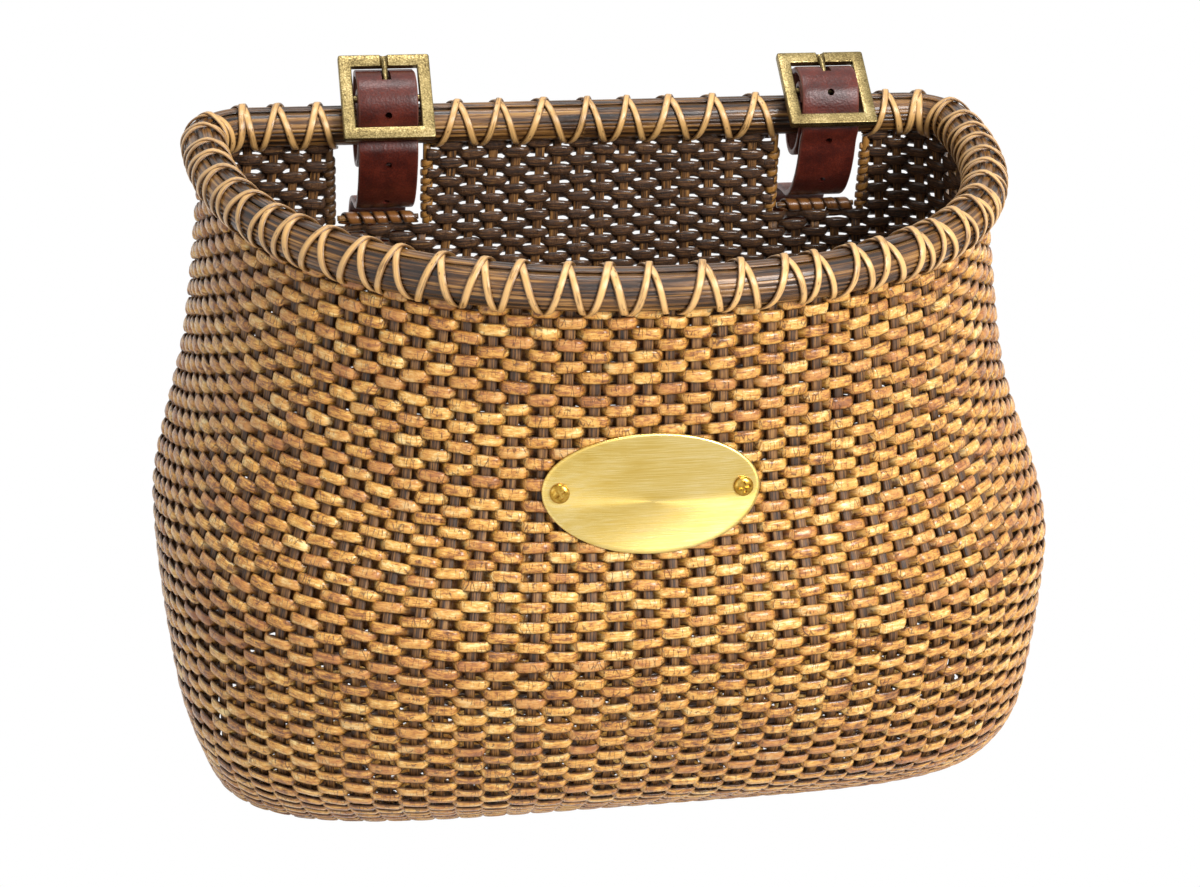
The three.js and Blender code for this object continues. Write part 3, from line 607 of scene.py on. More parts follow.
def weaver(batch, row, start, end, closed):
    """One weaver at a row from stake number start to end."""
    z0 = ROWS[row]
    hem = row < HEM_ROWS
    count = int(round((end - start) * STEPS))
    s = start + np.arange(count if closed else count + 1) / STEPS
    share = s / STAKES
    lean = 0.2 + 0.1 * min(max((60 - z0) / 30, 0), 1) - 0.35 * np.clip(1.6 * np.cos(TAU * share), 0, 1)
    side = strand_offset(s, row, lean)
    stroke = np.abs(np.cos(math.pi * (s + row)))
    number = np.floor(s + 0.5).astype(int) % STAKES
    local = np.random.RandomState(1000 + row)
    wild = local.uniform(-1, 1, (5, STAKES))
    within = s - np.floor(s + 0.5)
    lift = smooth_noise(len(s), max(4, int((end - start) / 5)), 0.24, 50 + row) + 0.16 * wild[0][number]
    lift = lift + 0.6 * wild[4][number] * within
    backward = np.clip(1.6 * np.cos(TAU * share), 0, 1) * min(max((z0 - 145) / 30, 0), 1)
    apart = np.arccos(np.clip(np.cos(math.pi * (s + row)), -1, 1)) / math.pi
    z = z0 + lift * (0.4 if hem else 1.0)
    points, normal = surface.at(share, np.clip(z, 1.5, RIM_HEIGHT))
    pitch = float(np.interp(z0, PITCH_AT, ROW_PITCH)) * (1.0 if not hem else 1.05)
    outside = np.interp(z0, STROKE_AT, STROKE_OUTSIDE)
    full = pitch * np.where(side > 0, outside, STROKE_INSIDE) * (1 + 0.07 * wild[1][number])
    pinch = pitch * (STROKE_PINCH + (BACK_PINCH - STROKE_PINCH) * backward)
    width = pinch + (full - pinch) * stroke**0.8
    thick = STRAND_THICK * (0.85 + 0.15 * stroke) * (1 - 0.3 * np.clip(-side, 0, 1))
    points = points + normal * (side * STRAND_OUT)[:, None]
    twist = 0.14 * wild[2][number] * stroke
    shape = section(8, 3.0)
    rings = sweep(points, normal, width, thick, shape, closed, twist)
    rings[:, :, 2] = np.maximum(rings[:, :, 2], 0.1)
    reach = s * surface.around(z0) / STAKES
    grain = np.zeros(rings.shape)
    grain[:, :, 0] = reach[:, None] + 37.0 * row
    grain[:, :, 1:] = shape[None] * 1.7 + 3 * wild[3][number][:, None, None]
    run = smooth_noise(len(s), max(4, int((end - start) / 9)), 1.0, 700 + row)
    # ends and edge carry painted shade: the weaver material darkens the stroke tips behind the stakes and the strand's
    # edges between the rows.
    batch.tube(
        rings,
        closed,
        grain=grain,
        tone=0.55 * run + 0.75 * wild[1][(number * 7) % STAKES],
        red=np.clip(smooth_noise(len(s), max(4, int((end - start) / 7)), 1.1, 900 + row), 0, 1),
        ends=np.clip((apart - 0.3) / 0.5, 0, 1),
        inside=np.broadcast_to(np.clip(0.5 - 1.2 * shape[None, :, 1], 0, 1), rings.shape[:2]),
        edge=np.broadcast_to(np.abs(shape[None, :, 0]), rings.shape[:2]),
    )


def stake_number(x, z):
    """The stake number at a place along the back."""
    return (x / surface.around(z) * STAKES) % STAKES


def make_weavers():
    groups = 5
    per = math.ceil(len(ROWS) / groups)
    for g in range(groups):
        batch = Batch()
        for row in range(g * per, min((g + 1) * per, len(ROWS))):
            z = ROWS[row]
            if z < SLOT_FLOOR + 1:
                weaver(batch, row, 0, STAKES, True)
                continue
            edge = SLOT_HALF + POST_OUT
            spans = [
                (SLOT_X["right"] + edge, SLOT_X["left"] - edge, True),
                (SLOT_X["left"] + edge, SLOT_X["right"] - edge, False),
            ]
            for a, b, round_front in spans:
                start, end = stake_number(a, z), stake_number(b, z)
                if not round_front:
                    start -= STAKES
                weaver(batch, row, start, end, False)
        batch.make(f"weavers_{g + 1}", "basket", replaces=("woven_wall",), slot="rattan", material=weaver_look)


def make_stakes():
    batch = Batch()
    top = RIM_HEIGHT - 2
    z = np.linspace(1.0, top, 56)
    for k in range(STAKES):
        local = np.random.RandomState(300 + k)
        share = (k + 0.10 * local.uniform(-1, 1) + smooth_noise(len(z), 6, 0.05, 400 + k)) / STAKES
        points, normal = surface.at(share, z)
        x, y = points[-1][0], points[-1][1]
        on_back = y > RIM_Y - 6
        keep = np.ones(len(z), bool)
        for sx in SLOT_X.values():
            if on_back and abs(x - sx) < SLOT_HALF + POST_OUT + 1:
                keep &= z < SLOT_FLOOR - 2
        points, normal, heights = points[keep], normal[keep], z[keep]
        shape = section(18, 3.0, 9, 0.16)
        width = STAKE_WIDTH * (1 + 0.08 * local.uniform(-1, 1))
        rings = sweep(points, normal, width, STAKE_THICK, shape)
        grain = np.zeros(rings.shape)
        grain[:, :, 0] = heights[:, None] + 61.0 * k
        grain[:, :, 1] = shape[None, :, 0] * 2.3
        grain[:, :, 2] = shape[None, :, 1] + k * 5.0
        batch.tube(rings, False, grain=grain)
    batch.make("stakes", "basket", replaces=("woven_wall",), slot="rattan", material=stake_look)


make_weavers()
make_stakes()


def make_bottom():
    """The woven bottom: flat strands from side to side over and under strands from back to front."""
    batch = Batch()
    outline, _ = outline_at(0, 720)
    centre = np.array([0, PLAN_Y])
    hull = centre + (outline[:-1] - centre) * (1 - 4.2 / np.linalg.norm(outline[:-1] - centre, axis=1))[:, None]
    pitch_x, pitch_y = 9.6, 5.4

    def reach(axis, at):
        """Where a line across the bottom at that place meets its outline."""
        a, b = hull, np.roll(hull, -1, 0)
        crosses = (a[:, axis] - at) * (b[:, axis] - at) < 0
        a, b = a[crosses], b[crosses]
        t = (at - a[:, axis]) / (b[:, axis] - a[:, axis])
        other = a[:, 1 - axis] + t * (b[:, 1 - axis] - a[:, 1 - axis])
        return (other.min(), other.max()) if len(other) > 1 else None

    def strand(axis, at, pitch, phase, width, thick, amount, seed):
        ends = reach(axis, at)
        if ends is None or ends[1] - ends[0] < 6:
            return
        along = np.linspace(*ends, max(6, int((ends[1] - ends[0]) / pitch * 5)))
        side = np.tanh(1.6 * np.cos(math.pi * (along / pitch + phase)))
        points = np.zeros((len(along), 3))
        points[:, 1 - axis] = along
        points[:, axis] = at + smooth_noise(len(along), 5, 0.4, seed)
        points[:, 2] = 2.5 + amount * side
        normal = np.broadcast_to([0.0, 0.0, 1.0], points.shape)
        shape = section(8, 2.7)
        rings = sweep(points, normal, width, thick, shape)
        grain = np.zeros(rings.shape)
        grain[:, :, 0] = along[:, None] + 53.0 * seed
        grain[:, :, 1:] = shape[None] * width / 2
        flat = np.full(len(along), 0.0)
        batch.tube(rings, False, grain=grain, tone=flat + math.sin(seed), red=flat, ends=flat, inside=0.5 + 0.5 * side)

    for k, y in enumerate(np.arange(hull[:, 1].min() + 2, hull[:, 1].max() - 1, pitch_y)):
        strand(1, y, pitch_x, k, 5.3, 1.4, 1.05, 2000 + k)
    for k, x in enumerate(np.arange(hull[:, 0].min() + 3, hull[:, 0].max() - 2, pitch_x)):
        strand(0, x, pitch_y, k + 0.5, 6.4, 1.5, 0.25, 3000 + k)
    batch.make("bottom_weave", "basket", replaces=("woven_base",), slot="rattan", material=weaver_look)


# Rim: two ribbed half poles, a flat strip over their joint, and the crossed lacing
RIM_COUNT = 900
HOOP_HALF = 6.8
HOOP_FLAT = 2.0
RIM_PLAN, RIM_LENGTH = outline_at(RIM_HEIGHT, RIM_COUNT)


def rim_frames(distance):
    """Middle of the rim, its direction and its outward direction, at distances from the back's middle."""
    u = (np.asarray(distance, float) / RIM_LENGTH % 1) * RIM_COUNT
    i = np.floor(u).astype(int) % RIM_COUNT
    f = (u - np.floor(u))[:, None]
    plan = RIM_PLAN[:-1]
    tangents = np.roll(plan, -2, 0) - np.roll(plan, 2, 0)
    tangents /= np.linalg.norm(tangents, axis=1, keepdims=True)
    place = plan[i] * (1 - f) + plan[(i + 1) % RIM_COUNT] * f
    tangent = tangents[i] * (1 - f) + tangents[(i + 1) % RIM_COUNT] * f
    tangent /= np.linalg.norm(tangent, axis=1, keepdims=True)
    outward = np.stack([-tangent[:, 1], tangent[:, 0]], 1)
    return place, tangent, outward


def rim_tube(name, node, profile, ridges, look, seed):
    """A closed strip along the rim. profile has columns out and up, and ridges gives each point's relief."""
    distance = np.arange(RIM_COUNT) / RIM_COUNT * RIM_LENGTH
    place, _, outward = rim_frames(distance)
    sway = np.stack([smooth_noise(RIM_COUNT, 40, 1.0, seed + k) for k in range(len(profile))], 1)
    middle = profile.mean(0)
    rays = profile - middle
    rays /= np.linalg.norm(rays, axis=1, keepdims=True)
    relief = ridges[None] * (1 + 0.5 * sway)
    section_at_step = profile[None] - rays[None] * relief[:, :, None]
    rings = np.zeros((RIM_COUNT, len(profile), 3))
    rings[:, :, :2] = place[:, None] + outward[:, None] * section_at_step[:, :, :1]
    rings[:, :, 2] = RIM_HEIGHT + section_at_step[:, :, 1]
    girth = np.concatenate([[0], np.cumsum(np.linalg.norm(np.diff(profile, axis=0), axis=1))])
    grain = np.zeros(rings.shape)
    grain[:, :, 0] = distance[:, None]
    grain[:, :, 1] = girth[None]
    grain[:, :, 2] = seed
    # lifted, stored as ridge, is low in the furrows, where the pole material paints shade.
    lifted = 1 - relief / max(ridges.max(), 0.3) * 1.4
    batch = Batch()
    batch.tube(rings, True, grain=grain, ridge=lifted, edge=np.zeros(RIM_COUNT))
    batch.make(name, "basket", replaces=(node,), slot="pole", material=look)


def make_rim():
    edge = math.asin(HOOP_HALF / HOOP_RADIUS)
    for side, name in ((1, "outer"), (-1, "inner")):
        a = np.linspace(edge, -edge, 45)
        arc = np.stack([HOOP_RADIUS * np.cos(a), HOOP_RADIUS * np.sin(a)], 1)
        back = np.array([[HOOP_FLAT, -HOOP_HALF], [HOOP_FLAT, 0], [HOOP_FLAT, HOOP_HALF]])
        profile = np.concatenate([arc, back]) * [side, 1]
        furrow = 0.42 * np.abs(np.sin(a * 11 + 0.6 * np.sin(a * 5))) ** 0.6
        ridges = np.concatenate([0.45 - furrow, np.zeros(3)]).clip(0)
        rim_tube(f"{name}_pole", f"rim_{name}_hoop", profile, ridges, pole_look, 20 + side * 7)
    seat = HOOP_HALF + 0.15
    crown = np.array([[-2.6, 0], [-2.7, 0.6], [-1.9, 1.05], [-0.6, 1.15], [0, 0.8], [0.6, 1.15], [1.9, 1.05], [2.7, 0.6], [2.6, 0]])
    profile = crown + [0, seat]
    rim_tube("rim_top_strip", "rim_cap_strip", profile, np.full(len(profile), 0.12), pole_look, 61)


BUCKLE_SIZE = 36.8
LACE_START = BUCKLE_SIZE / 2 + 1.6
LACE_PARTING = 4.4
LACE_PITCH = {"right": 14.8, "left": 14.8, "back": 17.4}
LACE_WIDTH = 2.8
LACE_THICK = 0.95
LACE_RADIUS = HOOP_RADIUS + 0.2 + LACE_THICK / 2
LACE_STEPS = 32


def wound(batch, centre_at, turns, steps, sense, radius_at, width, thick, seed, start=-math.pi / 2, jitter=0.0):
    """One flat strand wound round an axis. centre_at gives places, directions and outward directions along it."""
    count = int(round(turns * steps))
    t = np.arange(count + 1) / count
    angle = start + sense * TAU * turns * t
    wander = smooth_noise(count + 1, max(4, int(turns * 1.1)), jitter, seed)
    place, along, outward = centre_at(t, wander)
    radial = outward * np.cos(angle)[:, None] + np.array([0.0, 0.0, 1.0]) * np.sin(angle)[:, None]
    points = place + radial * radius_at(angle)[:, None]
    shape = section(12, 3.2)
    width = width * (1 + smooth_noise(count + 1, max(4, int(turns * 2)), 0.12, seed + 1))
    rings = sweep(points, radial, width, thick, shape, False, smooth_noise(count + 1, max(4, int(turns * 3)), 0.12, seed + 2))
    run = np.concatenate([[0], np.cumsum(np.linalg.norm(np.diff(points, axis=0), axis=1))])
    grain = np.zeros(rings.shape)
    grain[:, :, 0] = run[:, None] + seed * 13.0
    grain[:, :, 1] = shape[None, :, 0] * 1.6
    grain[:, :, 2] = shape[None, :, 1] + seed
    # edge feeds painted shade along the strip's edges in the cane material.
    edge = np.broadcast_to(np.abs(shape[None, :, 0]), rings.shape[:2])
    batch.tube(rings, False, grain=grain, edge=edge)


def make_lacing():
    runs = {
        "right": (STRAP_X["right"] + LACE_START, (RIM_LENGTH - LACE_PARTING) / 2),
        "left": ((RIM_LENGTH + LACE_PARTING) / 2, RIM_LENGTH + STRAP_X["left"] - LACE_START),
        "back": (STRAP_X["left"] + LACE_START, STRAP_X["right"] - LACE_START),
    }
    for k, (side, (begin, end)) in enumerate(runs.items()):
        turns = round((end - begin) / LACE_PITCH[side])
        for strand, sense in (("under", 1), ("over", -1)):

            def centre_at(t, wander):
                fade = np.clip(np.minimum(t, 1 - t) * 12, 0, 1)
                place, tangent, outward = rim_frames(begin + (end - begin) * t + wander * fade)
                level = np.full((len(t), 1), RIM_HEIGHT)
                flat = np.zeros((len(t), 1))
                return np.hstack([place, level]), np.hstack([tangent, flat]), np.hstack([outward, flat])

            def radius_at(angle):
                crossing = np.exp(-((np.cos(angle) / 0.38) ** 2))
                return LACE_RADIUS + 0.85 * LACE_THICK * crossing * (strand == "over")

            batch = Batch()
            wound(batch, centre_at, turns, LACE_STEPS, sense, radius_at, LACE_WIDTH, LACE_THICK, 80 + 9 * k, jitter=2.0)
            name = f"lacing_{side}_{strand}"
            batch.make(f"{side}_lacing_{strand}", "basket", replaces=(name,), slot="cane", material=lace_look)


def make_slot_edges():
    """Weavers turn back round the slot's first stake, and flat cane is wound round the sill's rod."""
    for side in ("left", "right"):
        for edge in ("outer", "inner"):
            node = f"{side}_slot_post_{edge}"
            low, high = node_box(node)
            x, y = (low[0] + high[0]) / 2, (low[1] + high[1]) / 2
            height = high[2] - low[2]
            seed = 500 + len(node) * 7 + (3 if side == "left" else 0)
            batch = Batch()
            z = np.linspace(low[2], high[2] + 4, 14)
            core = np.stack([np.full(14, x), np.full(14, y), z], 1)
            shape = section(10, 2.4)
            rings = sweep(core, np.broadcast_to([0.0, 1.0, 0.0], core.shape), 3.2, 2.6, shape)
            grain = np.zeros(rings.shape)
            grain[:, :, 0] = z[:, None]
            grain[:, :, 1:] = shape[None] * 1.5
            batch.tube(rings, False, grain=grain, edge=np.zeros(14))
            turns = height / TURN_PITCH
            steps = 16
            count = int(turns * steps)
            t = np.arange(count + 1) / count
            angle = TAU * turns * t + 0.4 * seed
            slump = smooth_noise(count + 1, int(turns * 2), 0.35, seed)
            radius = 1.95 + 0.25 * smooth_noise(count + 1, int(turns * 2), 1.0, seed + 5)
            points = np.stack([
                x + radius * np.cos(angle),
                y + radius * 0.95 * np.sin(angle),
                low[2] + 1.6 + (height - 3.4) * t + slump,
            ], 1)
            radial = np.stack([np.cos(angle), np.sin(angle), np.zeros(count + 1)], 1)
            shape = section(10, 3.0)
            wide = 3.1 * (1 + smooth_noise(count + 1, int(turns * 2), 0.16, seed + 9))
            rings = sweep(points, radial, wide, 1.3, shape)
            grain = np.zeros(rings.shape)
            grain[:, :, 0] = (angle * radius)[:, None] + seed
            grain[:, :, 1:] = shape[None] * 1.5 + seed
            # edge feeds painted shade along the strip's edges in the cane material.
            edges = np.broadcast_to(np.abs(shape[None, :, 0]), rings.shape[:2])
            batch.tube(rings, False, grain=grain, edge=edges)
            look = dark_post_look if (side, edge) == ("left", "outer") else pale_post_look
            batch.make(f"{side}_slot_turns_{edge}", "basket", replaces=(node,), slot="rattan", material=look)
        low, high = node_box(f"{side}_sill_rod")
        y, z = (low[1] + high[1]) / 2, (low[2] + high[2]) / 2
        ends = np.linspace(low[0], high[0], 30)
        points = np.stack([ends, np.full(30, y), z + smooth_noise(30, 5, 0.12, 77)], 1)
        shape = section(12, 2.0, 5, 0.1)
        rings = sweep(points, np.broadcast_to([0.0, 1.0, 0.0], points.shape), 2.5, 2.5, shape)
        grain = np.zeros(rings.shape)
        grain[:, :, 0] = ends[:, None]
        grain[:, :, 1:] = shape[None] * 1.3
        batch = Batch()
        batch.tube(rings, False, grain=grain, ridge=np.ones(30))
        batch.make(f"{side}_sill_core", "basket", replaces=(f"{side}_sill_rod",), slot="pole", material=pole_look)
        half = (high[0] - low[0]) / 2 - 2.7
        middle = (low[0] + high[0]) / 2

        def centre_at(t, wander):
            place = np.stack([middle - half + 2 * half * t + wander, np.full(len(t), y), np.full(len(t), z)], 1)
            along = np.broadcast_to([1.0, 0.0, 0.0], place.shape)
            return place, along, np.broadcast_to([0.0, 1.0, 0.0], place.shape)

        batch = Batch()
        wound(batch, centre_at, 5, 32, 1, lambda a: np.full(len(a), 2.0), 5.0, 1.2, 40 + len(side), jitter=0.35)
        batch.make(f"{side}_sill_coils", "basket", replaces=(f"{side}_sill_wrap",), slot="wrap", material=wrap_look)


# Straps: the course in the frame's own shares, across the rim
STRAP_WIDTH = 24.0
STRAP_THICK = 2.4
BUCKLE_OUT = 13.8
BUCKLE_WINDOW = 26.6
BUCKLE_THICK = 3.2
BAR_RADIUS = 1.5
BAR_DROP = 1.0
BAR_OUT = BUCKLE_OUT - BAR_DROP
PRONG_RISE = 2.7
PRONG_OUT = PRONG_RISE - BAR_DROP
EYE_RADIUS = 3.1
GAP = 0.3
SILL_DROP = 37.5
TAIL_OUT = 27.0
HANGERS = {
    "left": dict(lean=math.radians(45), rise=5.4, hole=19.5),
    "right": dict(lean=math.radians(33), rise=2.2, hole=15.0),
}
FOLD_END = [(-1.9, 0.04), (-1.1, 0.57)]
LOOP = [(-1, -0.52), (-0.82, -1.08), (-0.42, -1.53), (0.06, -1.7), (0.52, -1.53), (0.88, -1.05), (1.05, -0.45),
        (1.08, 0.2), (1.12, 0.9)]
CROSSING = [(0.97, 0.46), (0.86, 0.64), (0.71, 0.81), (0.5, 0.93), (0.26, 0.99), (0, 1), (-0.3, 0.95), (-0.6, 0.8),
            (-0.84, 0.62), (-1.04, 0.51), (-1.22, 0.37)]
HANG = [(-1.1, -0.18), (-1.03, -0.38), (-0.82, -0.61), (-0.42, -0.82)]
TAIL = [(0.06, -0.945), (0.34, -0.97), (0.64, -1.02), (0.86, -1.16), (0.97, -1.4), (1, -1.74)]


def on_buckle(hanger, up, out):
    """A place up along the leaning buckle and out from the pole, as columns back and up."""
    along = hanger["rise"] + up
    c, s = math.cos(hanger["lean"]), math.sin(hanger["lean"])
    return np.array([along * c - out * s, along * s + out * c])


def strap_course(hanger, count=260):
    fold = BAR_RADIUS + GAP + STRAP_THICK / 2
    snug = HOOP_RADIUS + GAP + STRAP_THICK / 2
    over = BAR_OUT + fold + STRAP_THICK + 2 * GAP
    hang = snug + STRAP_THICK + 2 * GAP
    points = [on_buckle(hanger, up * fold, BAR_OUT + out * fold) for up, out in FOLD_END]
    for i in range(7):
        a = math.pi / 2 - math.pi * i / 6
        points.append(on_buckle(hanger, fold * math.cos(a), BAR_OUT + fold * math.sin(a)))
    touch = math.pi / 2 + hanger["lean"]
    for i in range(3):
        a = touch + (math.pi - touch) * i / 2
        points.append(np.array([snug * math.cos(a), snug * math.sin(a)]))
    points += [np.array([a * snug, b * snug]) for a, b in LOOP]
    points += [on_buckle(hanger, up * BUCKLE_WINDOW / 2, out * over) for up, out in CROSSING]
    points += [np.array([a * hang, b * SILL_DROP]) for a, b in HANG]
    points += [np.array([a * TAIL_OUT, b * SILL_DROP]) for a, b in TAIL]
    points = np.array(points)
    padded = np.concatenate([points[:1], points, points[-1:]])
    fine = []
    for i in range(len(points) - 1):
        p0, p1, p2, p3 = padded[i : i + 4]
        t = np.linspace(0, 1, 40, endpoint=False)[:, None]
        v0, v1 = (p2 - p0) / 2, (p3 - p1) / 2
        fine.append((2 * p1 - 2 * p2 + v0 + v1) * t**3 + (-3 * p1 + 3 * p2 - 2 * v0 - v1) * t**2 + v0 * t + p1)
    fine = np.concatenate(fine + [points[-1:]])
    run = np.concatenate([[0], np.cumsum(np.linalg.norm(np.diff(fine, axis=0), axis=1))])
    at = np.linspace(0, run[-1], count)
    return np.stack([np.interp(at, run, fine[:, k]) for k in (0, 1)], 1), run[-1]


def tool(name, verts, faces):
    """A solid that only cuts, and is removed after."""
    mesh = bpy.data.meshes.new(name)
    mesh.from_pydata((np.asarray(verts) * MM).tolist(), [], faces)
    obj = bpy.data.objects.new(name, mesh)
    bpy.context.scene.collection.objects.link(obj)
    return obj


def prism(outline, depth, matrix):
    """A straight solid on an outline in X and Y, centred on Z, placed by a matrix."""
    n = len(outline)
    verts = [matrix @ Vector((x, y, side * depth / 2)) for side in (-1, 1) for x, y in outline]
    faces = [list(range(n))[::-1], list(range(n, 2 * n))]
    faces += [[i, (i + 1) % n, n + (i + 1) % n, n + i] for i in range(n)]
    return tool("cutter", verts, faces)


def circle(radius, sides=20):
    return [(radius * math.cos(TAU * i / sides), radius * math.sin(TAU * i / sides)) for i in range(sides)]


def rectangle(width, height):
    w, h = width / 2, height / 2
    return [(-w, -h), (w, -h), (w, h), (-w, h)]


def carve(obj, cutters, join=(), angle=40):
    """Cuts solids out of a piece, joins others to it, and keeps the result as its mesh."""
    for operation, tools in (("UNION", join), ("DIFFERENCE", cutters)):
        for other in tools:
            step = obj.modifiers.new("cut", "BOOLEAN")
            step.operation = operation
            step.solver = "EXACT"
            step.object = other
    graph = bpy.context.evaluated_depsgraph_get()
    mesh = bpy.data.meshes.new_from_object(obj.evaluated_get(graph))
    obj.modifiers.clear()
    obj.data = mesh
    for other in (*join, *cutters):
        bpy.data.objects.remove(other)
    mesh.polygons.foreach_set("use_smooth", np.ones(len(mesh.polygons), bool))
    mesh.set_sharp_from_angle(angle=math.radians(angle))
    return obj


def strap_frame(x, hanger, place, tangent):
    """Axes of a cutter at a place of the strap: Z along the strap's normal, X across it."""
    normal = Vector((0, -tangent[1], tangent[0]))
    across = Vector((1, 0, 0))
    other = normal.cross(across)
    matrix = Matrix((across, other, normal)).transposed().to_4x4()
    return Matrix.Translation((x, RIM_Y + place[0], RIM_HEIGHT + place[1])) @ matrix


def make_strap(side):
    hanger, x = HANGERS[side], STRAP_X[side]
    course, length = strap_course(hanger)
    tangent = np.gradient(course, axis=0)
    tangent /= np.linalg.norm(tangent, axis=1, keepdims=True)
    normal = np.stack([-tangent[:, 1], tangent[:, 0]], 1)
    radius = 0.75
    corners = []
    for cx, cy, turn in ((1, 1, 0), (-1, 1, 90), (-1, -1, 180), (1, -1, 270)):
        for a in (0, 22.5, 45, 67.5, 90):
            r = math.radians(turn + a)
            w = cx * (STRAP_WIDTH / 2 - radius) + radius * math.cos(r)
            h = cy * (STRAP_THICK / 2 - radius) + radius * math.sin(r)
            corners.append((w, h))
    top = [(w, STRAP_THICK / 2) for w in (8, 4, 0, -4, -8)]
    bottom = [(w, -STRAP_THICK / 2) for w in (-8, -4, 0, 4, 8)]
    shape = np.array(corners[:5] + top + corners[5:15] + bottom + corners[15:])
    rounding = np.ones(len(course))
    tail = np.linspace(0, 1, len(course)) * length
    end = length - tail
    rounding = np.where(end < 9, np.sqrt(np.clip(1 - (1 - end / 9) ** 2, 0, 1)) * 0.75 + 0.25, 1)
    rings = np.zeros((len(course), len(shape), 3))
    rings[:, :, 0] = x + shape[None, :, 0] * rounding[:, None]
    across = normal[:, None] * shape[None, :, 1:]
    rings[:, :, 1:] = course[:, None] + across + [RIM_Y, RIM_HEIGHT]
    faces = tube_faces(len(course), len(shape), False)
    leather = leather_material(f"{side}_leather", rgb("602417"), rgb("45160e"), rgb("2f0c07"), edge_x=x)
    obj = new_mesh(f"{side}_leather_strap", rings.reshape(-1, 3), faces, f"{side}_hanger", (f"{side}_strap",),
                   "leather", leather)
    obj.data.materials.append(under_look)
    up = np.array([math.cos(hanger["lean"]), math.sin(hanger["lean"])])
    out = np.array([-up[1], up[0]])
    bar = on_buckle(hanger, 0, BAR_OUT)
    from_bar = course - bar
    miss = np.where(from_bar @ up > EYE_RADIUS + GAP, np.abs(from_bar @ out - PRONG_RISE), np.inf)
    pinned = int(np.argmin(miss))
    # The piece's outer face is the free part's top: its normal's sign follows the course
    index = np.repeat(np.arange(len(course) - 1), len(shape))
    lower = np.tile(np.isin(np.arange(len(shape)), range(4, 10)), len(course) - 1)
    facing = np.zeros(len(faces), int)
    facing[: len(lower)] = lower
    obj.data.polygons.foreach_set("material_index", facing)
    cutters = []
    for k in range(4):
        i = pinned + int(round((hanger["hole"] + 20 * k) / length * (len(course) - 1)))
        if i < len(course) - 8:
            cutters.append(prism(circle(1.45), 3 * STRAP_THICK, strap_frame(x, hanger, course[i], tangent[i])))
    lean = Matrix.Rotation(hanger["lean"], 4, "X")
    middle = np.array([RIM_Y, RIM_HEIGHT])
    eye = bar + middle
    cutters.append(prism(rectangle(5.2, 8.7), 8.7, Matrix.Translation((x, *eye)) @ lean))
    at = on_buckle(hanger, (course[pinned] - on_buckle(hanger, 0, 0)) @ up - 1.5, BUCKLE_OUT + PRONG_OUT + 1) + middle
    slot = [(w, h + s * 2.9) for w, h, s in [(1.9 * math.cos(a), 1.9 * math.sin(a), 1 if math.sin(a) > 0 else -1)
            for a in np.arange(0.01, TAU, TAU / 24)]]
    cutters.append(prism(slot, 5.8, Matrix.Translation((x, *at)) @ lean))
    carve(obj, cutters)
    return index


def make_buckle(side):
    """Square frame with softened edges, a round bar across it and a rest for the prong's tip."""
    hanger, x = HANGERS[side], STRAP_X[side]
    centre = on_buckle(hanger, 0, BUCKLE_OUT)
    place = Matrix.Translation((x, RIM_Y + centre[0], RIM_HEIGHT + centre[1])) @ Matrix.Rotation(hanger["lean"], 4, "X")
    outer, inner, half, soft = BUCKLE_SIZE / 2, BUCKLE_WINDOW / 2, BUCKLE_THICK / 2, 0.55
    profile = []
    for cx, cz, turn in ((1, 1, 0), (0, 1, 90), (0, -1, 180), (1, -1, 270)):
        for a in (0, 30, 60, 90):
            r = math.radians(turn + a)
            base = outer - soft if cx else inner + soft
            profile.append((base + soft * math.cos(r), cz * (half - soft) + soft * math.sin(r)))
    profile = np.array(profile)
    rings = []
    for k in range(4):
        for j, turn in enumerate(np.radians([-30, -10, 10, 30])):
            corner = np.array([1 if k in (0, 3) else -1, 1 if k in (0, 1) else -1])
            a = math.atan2(corner[1], corner[0]) + turn * 0.9
            reach = profile[:, :1]
            round_off = 0.9
            inset = np.where(reach > (outer + inner) / 2, round_off, 0.25)
            direction = np.array([math.cos(math.radians(45) + turn * 1.5), math.sin(math.radians(45) + turn * 1.5)])
            flat = corner * (reach - inset) + corner * inset * direction
            rings.append(np.hstack([flat, profile[:, 1:]]))
    ordered = []
    for k in range(4):
        block = rings[4 * k : 4 * k + 4]
        ordered += block if k in (0, 2) else block[::-1]
    rings = np.array(ordered)
    verts = np.array([place @ Vector(v) for v in rings.reshape(-1, 3)])
    obj = new_mesh(f"{side}_brass_frame", verts, tube_faces(len(rings), len(profile), True), f"{side}_buckle",
                   (f"{side}_buckle_frame",), "brass", brass_look)
    across = Matrix.Rotation(math.pi / 2, 4, "Y")
    bar = prism(circle(BAR_RADIUS), 2 * inner + 4, place @ Matrix.Translation((0, 0, -BAR_DROP)) @ across)
    upright = Matrix.Rotation(math.pi / 2, 4, "X")
    middle = (outer + inner) / 2
    rest = prism(circle(1.75), 2 * (outer - inner), place @ Matrix.Translation((0, middle, PRONG_OUT)) @ upright)
    carve(obj, [rest], [bar], 30)


